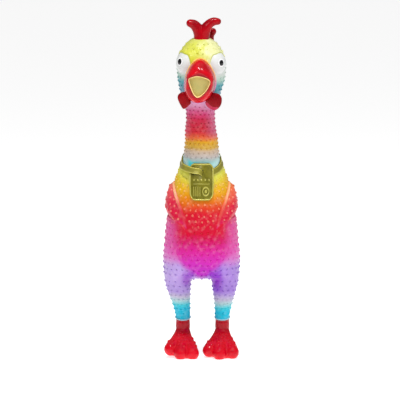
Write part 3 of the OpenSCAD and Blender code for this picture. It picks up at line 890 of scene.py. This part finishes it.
def gold_paint():
    """Dull metallic-looking gold vinyl, with a painted highlight on raised edges."""
    p = Paint("gold_vinyl_paint", 0.34, coat=0.3, coat_roughness=0.2)
    vector = p.place()[0]
    mark = p.mark()
    tint = p.mix(p.noise(vector, 7, 3).step(0.3, 0.7), (132, 126, 34), (108, 104, 24))
    # painted highlight where the mark is high: raised edges, the relief, and a little over the strap's face
    tint = p.mix(mark.step(0.25, 0.9), tint, (196, 188, 88))
    # painted shade where the mark is below nought; the gold pieces carry no such mark
    tint = p.mix(mark.step(-0.2, -0.7), tint, (72, 70, 20))
    p.shader.inputs["Metallic"].default_value = 0.25
    p.bumped(p.noise(vector, 0.8), 0.00012, 0.6)
    return p.done(tint)


def plain_paint(name, tint, other, roughness, coat=0.0, size=6):
    """One colour that drifts a little towards another, with a fine grain."""
    p = Paint(name, roughness, coat=coat, coat_roughness=0.12)
    vector = p.place()[0]
    grained(p, vector)
    return p.done(p.mix(p.noise(vector, size, 3).step(0.3, 0.7), tint, other))


def moulded_plastic(name, tint, roughness):
    """Material of the screamer's parts, which have no rest attribute: places come from Object space."""
    p = Paint(name, roughness, coat=0.1)
    grain = p.noise(p.add("ShaderNodeTexCoord").outputs["Object"], 1 / 900)
    p.bumped(grain, 0.00005, 0.4)
    return p.done(p.mix(grain.step(0.3, 0.7), tint, tuple(c - 14 for c in tint)))


skin_paint = rainbow_skin()
wing_vinyl = wing_paint()
foot_paint = gloss_red("red_vinyl_foot", (222, 2, 32), (204, 1, 28), 0.7, coat=0.32, ankle=True)
comb_paint = gloss_red("red_vinyl_comb", (176, 0, 17), (134, 0, 15), coat=0.2)
flap_paint = gloss_red("red_vinyl_flap", (150, 1, 16), (126, 1, 14), coat=0.12)
beak_vinyl = beak_paint()
gold_vinyl = gold_paint()
# the raw vinyl's cream, darkened by painted shade for the inside of the mouth
shaded_cream_paint = plain_paint("raw_vinyl_cream_painted_shade", (204, 194, 124), (190, 188, 118), 0.6, size=20)
black_gloss = plain_paint("pupil_black", (6, 6, 7), (14, 14, 16), 0.12, coat=0.8)
halo_white = plain_paint("pupil_halo_white", (250, 250, 250), (244, 244, 246), 0.3)

# ---------- making pieces ----------

NECK_LEAN = -1.1


def swayed(points):
    """The neck and the lower face stand a little to one side."""
    z = points[:, 2]
    share = smooth(z, SHOULDER + 3, SHOULDER + 18) * smooth(z, HEAD_Z + 36, HEAD_Z + 14)
    return points + (NECK_LEAN * share)[:, None] * [1, 0, 0]


def turned(points, z):
    """The turn of the face about the neck's axis, growing up the neck."""
    a = FACE_TURN * smooth(z, NECK_FLEX_2, HEAD_Z)
    x, y = points[:, 0], points[:, 1]
    return np.stack([x * np.cos(a) - y * np.sin(a), x * np.sin(a) + y * np.cos(a), points[:, 2]], 1)


def piece(name, surface, material, nodes, face=False, leg=False):
    """Makes a surface into an object that stands for CAD nodes.

    face turns it with the beak and eyes, and leg leans it with the legs.
    """
    verts, normals = surface.verts, surface.normals
    if leg:
        verts = lean_legs(verts)
    if face:
        centre = np.array([0, NECK_Y, 0])
        z = verts[:, 2]
        verts, normals = swayed(turned(verts - centre, z) + centre), turned(normals, z)
    mesh = bpy.data.meshes.new(name)
    mesh.from_pydata((verts * MM).tolist(), [], corners(surface.faces))
    mesh.polygons.foreach_set("use_smooth", [True] * len(mesh.polygons))
    mesh.normals_split_custom_set_from_vertices(normals.tolist())
    rest = mesh.attributes.new("rest", "FLOAT_VECTOR", "POINT")
    rest.data.foreach_set("vector", surface.verts.astype(np.float32).ravel())
    mark = mesh.attributes.new("mark", "FLOAT", "POINT")
    mark.data.foreach_set("value", surface.mark.astype(np.float32))
    mesh.materials.append(material)
    made = shown(name, mesh)
    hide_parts(*nodes)
    return made


# ---------- skin pieces ----------

BELLY_LOW, BELLY_HIGH = box_mm("belly_skin")
BELLY_Z = (BELLY_LOW[2] + BELLY_HIGH[2]) / 2


def press_blend(made):
    """Bakes a piece's placement into its mesh."""
    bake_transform(made)


def torso_pieces():
    """The torso's skin, parted at the belly's middle."""
    centre = body.centres()
    torso = (centre[:, 2] > HIP_TOP) & (above_collar(centre) < 0.5)
    high = centre[:, 2] > BELLY_Z
    upper_torso = piece("torso_skin_upper", body.part(torso & high), skin_paint,
                        ["torso_skin"])
    press_blend(upper_torso)
    lower_torso = piece("torso_skin_lower", body.part(torso & ~high), skin_paint,
                        ["belly_skin"])
    press_blend(lower_torso)


def leg_piece(side, s):
    """The skin of one leg, from its rolled lower edge up to the torso."""
    centre = body.centres()
    x, y, z = centre.T
    keep = (z <= HIP_TOP) & (z > rim_z(y)) & (x * s > 0)
    leg = piece(f"leg_{side}_skin", joined([body.part(keep), ankle_lip(s)]), skin_paint,
                [f"hip_skin_{side}", f"leg_skin_{side}"], leg=True)
    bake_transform(leg)


def wing_piece(side, s):
    wing = piece(f"wing_{side}_pad", wing_parts[s], wing_vinyl, [f"wing_{side}"])
    press_blend(wing)


def neck_pieces():
    """The neck's skin, parted halfway between its two bends."""
    centre = upper.centres()
    neck = (above_collar(centre) > 0.3) & (centre[:, 2] <= HEAD_Z + 0.5)
    low = centre[:, 2] <= (NECK_FLEX_TOP + NECK_FLEX_2) / 2
    neck_low = piece("neck_skin_lower", upper.part(neck & low), skin_paint,
                     ["lower_neck_skin"], face=True)
    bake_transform(neck_low)
    neck_high = piece("neck_skin_upper", upper.part(neck & ~low), skin_paint,
                      ["middle_neck_skin", "upper_neck_skin"], face=True)
    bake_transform(neck_high)


def head_pieces():
    """The head's skin, and the domes of the eyes inside their rims."""
    centre = upper.centres()
    head = centre[:, 2] > HEAD_Z + 0.5
    eyes = eye_place(centre)[0] < EYE_RIM
    made = piece("head_skin_studded", upper.part(head & ~eyes), skin_paint,
                 ["head_skin"], face=True)
    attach(made, "head")
    for side, s in SIDES:
        part = upper.part(head & eyes & (centre[:, 0] * s > 0))
        dome = piece(f"eye_{side}_dome", part, skin_paint, [f"eye_{side}"], face=True)
        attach(dome, "head")


def lean_legs(points):
    """The slight sideways lean of both legs, full at the ankles and none at the hips."""
    side = np.where(points[:, 0] > 0, ANKLE_LEAN[0], ANKLE_LEAN[1])
    share = smooth(points[:, 2], HIP_TOP - 6, ANKLE_TOP + 2)
    return points + (side * share)[:, None] * [1, 0, 0]


def rim_z(y):
    """Height of the leg's lower edge, which rises towards the back."""
    return ANKLE_TOP - 2.6 + 0.26 * (y - LEG_Y)


def tube_ring(centre, loop, radius):
    """A closed tube round a loop of points, where outward is away from centre."""
    out = unit((loop - centre) * [1, 1, 0])
    rows = [loop + radius * (math.cos(t) * out + math.sin(t) * np.array([0, 0, 1.0])) for t in around(10)]
    return grid(rows + rows[:1], caps=False)


def ankle_lip(s):
    """The rolled lower edge of the leg's skin."""
    a = around(56)
    centre = np.array([s * ANKLE_X, LEG_Y, 0])
    y = -8.6 * np.cos(a)
    loop = centre + np.stack([8.6 * np.sin(a), y, rim_z(LEG_Y + y)], 1)
    lip = tube_ring(centre, loop, 0.85).flipped()
    # the mark that gives the rim its painted highlight
    lip.mark[:] = -1
    return lip


torso_pieces()
for side, s in SIDES:
    leg_piece(side, s)
    wing_piece(side, s)
neck_pieces()
head_pieces()

# ---------- ankles and feet ----------

# Each foot's toes: [turn from straight ahead in degrees, reach from the ankle, height]
TOES = {
    1: [(-27, 34, 8.5), (-5, 39, 6.2), (19, 36, 7)],
    -1: [(-26, 32.5, 10), (-4, 38, 6.4), (17, 38.5, 6.2)],
}
TOE_R = 8.0
WEB_BACK = 3.8
HEEL_REACH = 13


def hulled(balls, extra):
    """Convex solid round balls of (centre, radius) and extra points, as a surface."""
    bm = bmesh.new()
    for centre, radius in balls:
        for v in ball(np.array(centre, float), radius, 20).verts:
            bm.verts.new(v)
    for v in extra:
        bm.verts.new(v)
    found = bmesh.ops.convex_hull(bm, input=bm.verts)
    bmesh.ops.delete(bm, geom=list(set(found["geom_interior"] + found["geom_unused"])), context="VERTS")
    bm.verts.index_update()
    verts = [tuple(v.co) for v in bm.verts]
    faces = [[v.index for v in f.verts] for f in bm.faces]
    bm.free()
    return Surface(verts, faces)


def toe_point(toe, back=0.0):
    """The middle of a toe's tip, drawn back towards the ankle."""
    turn, reach, z = toe
    t = math.radians(turn)
    return np.array([math.sin(t) * (reach - back), -math.cos(t) * (reach - back), z])


def foot_solid(toes):
    """One smooth webbed foot with its ankle over the origin."""
    ankle = [[8.7 * math.cos(t), 8.7 * math.sin(t), ANKLE_LOW - 7] for t in around(28)]
    heel = ((0, HEEL_REACH, TOE_R - 2.4), TOE_R - 0.5)
    parts = [hulled([heel, (toe_point(toe), TOE_R)], ankle) for toe in toes]
    for pair in (toes[:2], toes[1:]):
        parts.append(hulled([heel] + [(toe_point(toe, WEB_BACK), TOE_R - 0.8) for toe in pair], ankle))
    parts.append(ellipses([[ANKLE_LOW - 16, 8.9, 8.9, 0, 0], [ANKLE_LOW - 2, 8.5, 8.5, 0, 0]], 48))
    foot = fused(parts, voxel=0.9, passes=6)
    # rounder at the ankle, above the toes and round the heel: (passes, from z, to z, from y)
    for passes, low, high, back in (
        (25, (16, 24), (36, 33), (-99, -90)),
        (16, (9, 15), (35, 31), (-30, -14)),
        (30, (3, 8), (35, 31), (-4, 8)),
        (80, (2, 7), (27, 17), (-12, 2)),
    ):
        _, y, z = foot.verts.T
        relax(foot, passes, 0.5, 0.5, (smooth(z, *low) * smooth(z, *high) * smooth(y, *back))[:, None])
    # hollows along both sides and above the heel
    x, y, z = foot.verts.T
    side = bump(z - 13, 6.5) * smooth(y, -24, -6)
    foot.verts = np.stack([x * (1 - 0.24 * side), y - 3 * bump(z - 17, 6) * smooth(y, 2, 9), z], 1)
    foot.verts[:, 2] = np.where(foot.verts[:, 2] < 0.25, 0, foot.verts[:, 2])
    foot.normals = foot.face_normals()
    return foot


def foot_surface(s):
    """A foot in its place, with low pimples on its web."""
    foot = foot_solid(TOES[s])
    tree = foot.tree()
    pimples = []
    for k, reach in enumerate((15, 22, 29, 36)):
        for t in np.arange(-36, 34, 17 - 2 * k) + 6 * (k % 2):
            x, y = math.sin(math.radians(t)) * reach, -math.cos(math.radians(t)) * reach
            got = hit(foot, tree, (x, y, 60), (0, 0, -1))
            if got and got[0][2] > 7 and got[1][2] > 0.3:
                pimples.append(got)
    bumps = studs(pimples, 1.15)
    bumps.mark[:] = 0
    foot = joined([foot, bumps])
    foot.verts = foot.verts + [s * ANKLE_X, LEG_Y, 0]
    return foot


# Up the ankle: (height, radius)
ANKLE = [
    (ANKLE_LOW - 6, 8.3), (ANKLE_LOW - 3, 8.5), (ANKLE_LOW + 0.8, 8.4), (39, 8.2), (43, 8.2),
    (ANKLE_TOP, 8.1), (51, 8),
]


def ankle_piece(side, s):
    rows = refine([[z, r, r, s * ANKLE_X, LEG_Y] for z, r in ANKLE], 6)
    shank = piece(f"ankle_{side}_skin", ellipses(rows, 64), foot_paint,
                  [f"ankle_skin_{side}"], leg=True)
    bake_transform(shank)


for side, s in SIDES:
    foot = piece(f"foot_{side}_webbed", foot_surface(s), foot_paint, [f"foot_{side}"], leg=True)
    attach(foot, f"foot_{side}")
    ankle_piece(side, s)

# ---------- collar and tag ----------

TAG_W = TAG_HIGH[0] - TAG_LOW[0]
TAG_Z0, TAG_Z1 = TAG_LOW[2], TAG_HIGH[2]
TAG_T = 2.2
TAG_OFF = (0.3, 2.4)
# left, right, lower and upper edges of its slot
SLOT = (-10.8, 1.9, 217, 222.3)


def tag_off(z):
    """How far the tag's back stands off the column at height z."""
    return TAG_OFF[0] + (TAG_OFF[1] - TAG_OFF[0]) * np.clip((z - TAG_Z0) / 22, 0, 1)


def strap_out(turn):
    """How far the strap stands off: over the tag's right part, then down its slot and on behind it."""
    deg = np.degrees(turn)
    over = TAG_OFF[1] + TAG_T + 0.4
    return over * smooth(deg, -78, -32) * (1 - smooth(deg, -6, 6))


# The strap's cross-section: (height, thickness, lightness, for a painted highlight that is strongest on the
# raised edges)
STRAP_PROFILE = [
    (-1, 0, 0), (-1, 0.6, 0.3), (-0.93, 0.92, 1), (-0.78, 1, 0.8), (-0.62, 0.86, 0.5), (0, 0.8, 0.5),
    (0.62, 0.86, 0.5), (0.78, 1, 0.8), (0.93, 0.92, 1), (1, 0.6, 0.3), (1, 0, 0), (0, -0.15, 0),
    (-1, 0, 0),
]


def collar_surface():
    n = 240
    turn = np.linspace(-math.pi, math.pi, n, endpoint=False)
    z = np.full(n, COLLAR_Z)
    # the collar's height and the column's depth there depend on each other
    for _ in range(6):
        z = COLLAR_Z - COLLAR_SLOPE * np.cos(turn) * section(z)[1]
    off = strap_out(turn)
    z = z + 0.75 * off
    h = COLLAR_H / 2
    rows, marks = [], []
    for up, out, light in STRAP_PROFILE:
        rows.append(on_column(turn, z + up * h, off + out * COLLAR_T))
        marks.append(np.full(n, light))
    return grid(rows, caps=False, mark=marks)


def tag_half_width(z):
    corner = 8.5
    low = TAG_W / 2 - corner + np.sqrt(np.maximum(corner ** 2 - (corner + TAG_Z0 - z) ** 2, 0))
    arch = TAG_W / 4 + TAG_W / 4 * np.sqrt(np.maximum(1 - ((z - TAG_Z1 + 9) / 9) ** 2, 0.02))
    return np.where(z < TAG_Z0 + corner, low, np.where(z > TAG_Z1 - 9, arch, TAG_W / 2))


def box_mark(x, z, x0, x1, z0, z1):
    """1 inside a rectangle, soft at its edges."""
    soft = 0.35
    return (smooth(x, x0 - soft, x0 + soft) * smooth(-x, -x1 - soft, -x1 + soft)
            * smooth(z, z0 - soft, z0 + soft) * smooth(-z, -z1 - soft, -z1 + soft))


def tag_relief(x, z, edge):
    """Raised rim, a row of pips, a dividing bar, and a plain motif of ribs and a boss below it."""
    raised = [0.75 * smooth(edge, 0.2, 0.9) * smooth(edge, 2.4, 1.6)]
    raised += [0.5 * smooth(np.hypot(x - 4.3 * k, z - 211), 1.35, 0.8) for k in range(-2, 3)]
    raised.append(0.5 * box_mark(x, z, -9.8, 9.8, 206.2, 207.0))
    raised += [0.55 * box_mark(x, z, -9.6 + 2.4 * k, -8.6 + 2.4 * k, 192.5, 203.5) for k in range(4)]
    boss = np.hypot((x - 5) / 4.2, (z - 198) / 5.4)
    raised.append(0.6 * smooth(boss, 1.08, 0.94) * smooth(boss, 0.66, 0.8))
    raised.append(0.6 * smooth(boss, 0.42, 0.26))
    return np.maximum.reduce(raised)


def tag_surface():
    rows, columns = 124, 80
    t = (1 - np.cos(np.linspace(0, math.pi, rows))) / 2
    t = 0.5 * t + 0.5 * np.linspace(0, 1, rows)
    z = TAG_Z0 + 0.15 + (TAG_Z1 - TAG_Z0 - 0.3) * t
    s = np.linspace(-1, 1, columns)
    zz = np.repeat(z[:, None], columns, 1)
    half = tag_half_width(z)[:, None]
    xx = half * s[None]
    edge = np.minimum(half - np.abs(xx), np.minimum(zz - TAG_Z0, TAG_Z1 - zz))
    high = tag_relief(xx, zz, edge)
    thick = TAG_T * 0.62 * np.sqrt(np.clip(edge / 0.8, 0.02, 1)) + high * 0.75
    w = section(zz)[0]
    turn = np.arcsin(np.clip(xx / (w + 3), -1, 1))
    front = on_column(turn, zz, tag_off(zz) + thick)
    back = on_column(turn, zz, tag_off(zz))
    cx = (xx[:-1, :-1] + xx[1:, 1:]) / 2
    cz = (zz[:-1, :-1] + zz[1:, 1:]) / 2
    # the cells round the slot, with an empty border all round the tag
    solid = np.pad(~((cx > SLOT[0]) & (cx < SLOT[1]) & (cz > SLOT[2]) & (cz < SLOT[3])), 1)
    n = rows * columns
    verts = np.concatenate([front.reshape(-1, 3), back.reshape(-1, 3)])
    # the raised relief is marked for a painted highlight
    mark = np.concatenate([high.reshape(-1) * 1.4, np.zeros(n)])
    faces = []
    for i, j in np.argwhere(solid[1:-1, 1:-1]).tolist():
        a = i * columns + j
        b, c, d = a + 1, a + columns + 1, a + columns
        faces += [[a, b, c, d], [a + n, d + n, c + n, b + n]]
        for p, q, di, dj in ((a, b, -1, 0), (b, c, 0, 1), (c, d, 1, 0), (d, a, 0, -1)):
            if not solid[i + 1 + di, j + 1 + dj]:
                faces.append([q, p, p + n, q + n])
    return Surface(verts, faces, mark=mark)


strap = piece("collar_strap", collar_surface(), gold_vinyl, ["collar"])
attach(strap, "torso")
plate = piece("collar_tag", tag_surface(), gold_vinyl, ["tag"])
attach(plate, "torso")

# ---------- beak and mouth ----------

MOUTH = [(-12.6, 330), (-8.6, 333.2), (-2.9, 334.6), (3.8, 333.6), (10.4, 331.2), (12.8, 327.6),
         (10.6, 320.8), (6.8, 314.8), (1.6, 310.4), (-2.8, 310), (-7.4, 316)]
BEAK_MID = np.array([-0.4, 322.5])
BEAK_HALF_W = 17.9
BEAK_Z = (300.9, 353.3)
BEAK_FRONT = -44.6
# depth of the mouth's back edge and of its floor
MOUTH_BACK = -36.2
MOUTH_FLOOR = -38.6


# Rows at the beak's foot and in its mouth: (out from the outline, back, mark)
BEAK_FOOT = [(0.9, 3, 0), (0.9, 0.1, 0), (0.75, -0.35, 0), (-0.25, -0.55, 0), (-0.4, -0.75, 0.09)]
BEAK_LIP = [(0.15, -0.1, 1), (0.05, -0.1, 1.1), (-0.55, 0.1, 1.1), (-0.9, 0.6, 1.1), (-0.9, 3, 1.1)]


def polar(points, angles):
    """Distance from the beak's middle to an outline, at angles from straight up."""
    v = np.asarray(points) - BEAK_MID
    a, r = np.arctan2(v[:, 0], v[:, 1]), np.hypot(v[:, 0], v[:, 1])
    order = np.argsort(a)
    return np.interp(angles, a[order], r[order], period=2 * math.pi)


def beak_outline(n=400):
    a = around(n)
    mid, half = sum(BEAK_Z) / 2, (BEAK_Z[1] - BEAK_Z[0]) / 2
    x = BEAK_HALF_W * np.sin(a) * (1 - 0.16 * np.cos(a)) - 1.0 * smooth(-np.cos(a), 0, 1)
    return np.stack([x, mid + half * np.cos(a)], 1)


def facing(points, y):
    """Points (x, z) set at depth y."""
    return np.stack([points[:, 0], np.broadcast_to(y, len(points)), points[:, 1]], 1)


def beak_surface():
    n = 144
    a = around(n)
    way = np.stack([np.sin(a), np.cos(a)], 1)
    outer, inner = polar(beak_outline(), a), polar(closed_curve(MOUTH, 400), a)
    top = smooth(np.cos(a), 0.0, 0.85)
    low = smooth(-np.cos(a), 0.3, 0.95)
    rows, marks = [], []

    def row(r, y, mark):
        rows.append(facing(BEAK_MID + way * r[:, None], y))
        marks.append(np.full(n, float(mark)))

    lean = 1.0 - 0.22 * top
    front = BEAK_FRONT - 1.2 * top + 2.2 * low
    # the head's surface along the outline, a little smoothed
    rim = BEAK_MID + way * outer[:, None]
    base = np.array([hit(upper, upper_tree, (x, -90, z), (0, 1, 0))[0][1] for x, z in rim])
    for _ in range(12):
        base = 0.5 * base + 0.25 * (np.roll(base, 1) + np.roll(base, -1))
    for out, back, mark in BEAK_FOOT:
        row(outer + out, base + back, mark)
    for s in np.linspace(0.06, 0.97, 36):
        r = outer + (inner - outer) * s
        up = np.clip((s - 0.02) / (0.62 + 0.12 * top), 0, 1)
        rise = (1 - (1 - up) ** (2.2 - 0.2 * top)) ** (1 / (2.2 - 0.4 * top)) * lean + up * (1 - lean)
        rise = rise - 0.07 * top * smooth(s, 0.76, 0.95)
        # the rolled lip round the mouth
        lip = 0.04 * bump(s - 0.93, 0.06)
        fall = 0.05 * smooth(s, 0.95, 1.0)
        row(r, base - 0.7 + (front - base) * (rise + lip - fall), max(s, 0.09))
    edge = rows[-1][:, 1].copy()
    for out, back, mark in BEAK_LIP:
        row(inner + out, edge + back, mark)
    row(inner - 0.9, MOUTH_BACK, 1.1)
    return grid(rows, caps=False, mark=marks)


def lining_surface():
    """The floor of the mouth, a little hollow."""
    n = 96
    a = around(n)
    way = np.stack([np.sin(a), np.cos(a)], 1)
    inner = polar(closed_curve(MOUTH, 400), a) - 0.7
    return grid([
        facing(BEAK_MID + way * (inner * s)[:, None], MOUTH_FLOOR + 1.2 * (1 - s * s))
        for s in np.linspace(1, 0.02, 16)
    ])


BILL_BUMPS = [(-5.2, 343.5), (-1.8, 346.2), (2.2, 345.2), (0.6, 341.2), (5.4, 342.4)]


def bumped_beak():
    """The beak with the few low bumps on its upper bill."""
    skin = beak_surface()
    tree = skin.tree()
    found = [hit(skin, tree, (x, -90, z), (0, 1, 0)) for x, z in BILL_BUMPS]
    bumps = studs(found, 0.8)
    bumps.mark[:] = 0.3
    return joined([skin, bumps])


beak = piece("beak_open", bumped_beak(), beak_vinyl, ["beak"], face=True)
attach(beak, "head")
lining = piece("mouth_floor", lining_surface(), shaded_cream_paint, ["mouth_lining"], face=True)
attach(lining, "head")

# ---------- wattles, pupils and comb ----------

WATTLES = {
    "right": [(-27.9, 306), (-26.8, 311), (-21.5, 313.9), (-16, 312), (-12.2, 302), (-14.5, 298.2),
              (-20.6, 293.8), (-24.4, 298)],
    "left": [(10.6, 311.5), (16.6, 312.6), (21.8, 310), (23.8, 305), (22.4, 298), (17.4, 292.8),
             (10, 294), (4.4, 301.2)],
}


# From a wattle's back to its front: (inset from its outline, depth, mark)
WATTLE_EDGE = [
    (2.2, -20.6, 0), (0.6, -20.9, 0), (0, -21.8, 1), (0.1, -23.6, 1), (0.4, -24.7, 1),
    (1.1, -25.3, 0), (2.2, -25.6, 0), (5, -25.8, 0),
]


def wattle_surface(outline, lean):
    """A thick soft flap with rounded edges. lean bares its paler lower edge towards the neck."""
    n = 72
    loop = closed_curve(outline, n)
    mid = loop.mean(0)
    area = np.sum(loop[:, 0] * np.roll(loop[:, 1], -1) - np.roll(loop[:, 0], -1) * loop[:, 1])
    loop = loop if area > 0 else loop[::-1]
    out = unit(loop - mid)
    rows, marks = [], []
    bared = smooth(out @ np.array([-0.5, -0.86]), 0.35, 0.8) * lean
    for inset, y, mark in WATTLE_EDGE:
        p = loop - out * (inset + bared * float(smooth(-y, 22, 25)))[:, None]
        rows.append(facing(p, y))
        marks.append(mark * bared / 3)
    return grid(rows, mark=marks)


for side, lean in (("left", 3.0), ("right", 0.0)):
    flap = piece(f"wattle_{side}_flap", wattle_surface(WATTLES[side], lean), flap_paint,
                 [f"wattle_{side}"])
    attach(flap, "head")

PUPIL_TURN = math.radians(46)
PUPIL_RISE = {1: math.radians(5), -1: math.radians(9)}


def pupil_surface(s, radius, high):
    """A low dome of paint that follows the eyeball, taller than wide."""
    level, rise = math.cos(PUPIL_RISE[s]), math.sin(PUPIL_RISE[s])
    way = np.array([s * math.sin(PUPIL_TURN) * level, -math.cos(PUPIL_TURN) * level, rise])
    u = unit(np.cross([0, 0, 1.0], way))
    v = np.cross(way, u)
    a = around(40)
    centre = EYE_C * [s, 1, 1]
    rows = []
    for share, lift in ((1, -0.35), (1, 0.06), (0.9, 0.75), (0.6, 0.95), (0.25, 1.0), (0.02, 1.0)):
        off = radius * share * (np.cos(a)[:, None] * u * 0.94 + np.sin(a)[:, None] * v * 1.04)
        spot = centre + way * EYE_R + off
        rows.append(centre + unit(spot - centre) * (EYE_R + 0.12 + lift * high))
    return grid(rows)


for side, s in SIDES:
    ring = pupil_surface(s, 4.9, 0.12)
    halo = piece(f"pupil_{side}_halo", ring, halo_white, [], face=True)
    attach(halo, "head")
    dome = pupil_surface(s, 3.6, 0.42)
    dot = piece(f"pupil_{side}_dot", dome, black_gloss, [f"pupil_{side}"], face=True)
    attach(dot, "head")

# Points along the comb's lobes: [x, y, z, radius]
COMB = [
    [[-1, 0.6, 371.5, 8.6], [-1.2, 0.6, 377, 7.8], [-3.9, 0.6, 384.4, 6.8], [-8.4, 0.4, 390, 5.8],
     [-13.2, 0, 392, 4.7]],
    [[2.4, -0.6, 373, 6.4], [4.6, -0.8, 384.6, 6.5], [8.6, -0.8, 390.8, 5.5], [14, -0.4, 394, 4.9],
     [19, 0, 394, 4]],
    [[2, 3, 371.5, 4.8], [10, 12, 370.5, 4], [11.6, 13, 376, 3.1], [13.2, 13, 381, 4.2]],
]


def comb_surface():
    return fused([ball(r[:3], r[3], 32) for lobe in COMB for r in refine(lobe, 8)], voxel=0.75, passes=9)


crest = piece("comb_crest", comb_surface(), comb_paint, ["comb"])
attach(crest, "head")

# ---------- the screamer keeps its CAD shapes ----------

hard_white = moulded_plastic("hard_plastic_white", (226, 226, 218), 0.35)
reed_clear = moulded_plastic("reed_film_frosted", (210, 214, 210), 0.25)
for node in ("screamer_barrel", "screamer_cap", "reed_bed", "reed_wedge", "reed"):
    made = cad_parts[node]
    made.data.materials.clear()
    made.data.materials.append(reed_clear if node == "reed" else hard_white)

# ---------- floor, light and camera ----------


def floor():
    size = 14.0
    mesh = bpy.data.meshes.new("floor")
    corners_xy = [(-size, -size), (size, -size), (size, size), (-size, size)]
    mesh.from_pydata([(x, y, -0.0002) for x, y in corners_xy], [], [[0, 1, 2, 3]])
    made = shown("floor", mesh)
    p = Paint("floor_white", 0.7, specular=0.1)
    p.shader.inputs["Emission Color"].default_value = (1, 1, 1, 1)
    p.shader.inputs["Emission Strength"].default_value = 0.71
    mesh.materials.append(p.done(p.mix(p.noise(None, 1 / 3), (252, 252, 252), (255, 255, 255))))


def lamp(name, place, target, size, power):
    light = bpy.data.lights.new(name, "AREA")
    light.shape = "RECTANGLE"
    light.size, light.size_y = size
    light.energy = power
    made = bpy.data.objects.new(name, light)
    bpy.context.scene.collection.objects.link(made)
    made.location = place
    made.rotation_euler = (Vector(target) - Vector(place)).to_track_quat("-Z", "Y").to_euler()


def camera():
    elevation, distance = math.radians(8), 5.0
    target = Vector((-0.0018, 0, 0.1835))
    data = bpy.data.cameras.new("camera")
    data.lens = 383
    made = bpy.data.objects.new("camera", data)
    bpy.context.scene.collection.objects.link(made)
    back = Vector((0, -math.cos(elevation), math.sin(elevation)))
    made.location = target + back * distance
    made.rotation_euler = (-back).to_track_quat("-Z", "Y").to_euler()
    bpy.context.scene.camera = made


floor()
lamp("key", (-0.5, -1.1, 1.25), (0, 0, 0.22), (0.4, 0.3), 2.5)
lamp("spark", (0.05, -0.65, 1.6), (0, 0, 0.3), (0.16, 0.12), 5)
lamp("glint", (-0.15, -0.3, 1.5), (0, 0, 0.1), (0.16, 0.16), 4.5)
lamp("glint_right", (0.4, -0.4, 1.4), (0, 0, 0.1), (0.14, 0.14), 4)
lamp("toes", (-0.12, -1.2, 1.0), (0, 0, 0.03), (0.06, 0.05), 1.1)
lamp("fill", (1.0, -1.0, 0.7), (0, 0, 0.2), (0.8, 0.8), 1.6)
lamp("top", (0, 0.1, 1.5), (0, 0, 0.2), (1.2, 0.8), 1.2)
camera()
world = bpy.data.worlds.new("world")
bpy.context.scene.world = world
world.use_nodes = True
world.node_tree.nodes["Background"].inputs[0].default_value = (1, 1, 1, 1)
world.node_tree.nodes["Background"].inputs[1].default_value = 0.22
bpy.context.scene.view_settings.view_transform = "Standard"
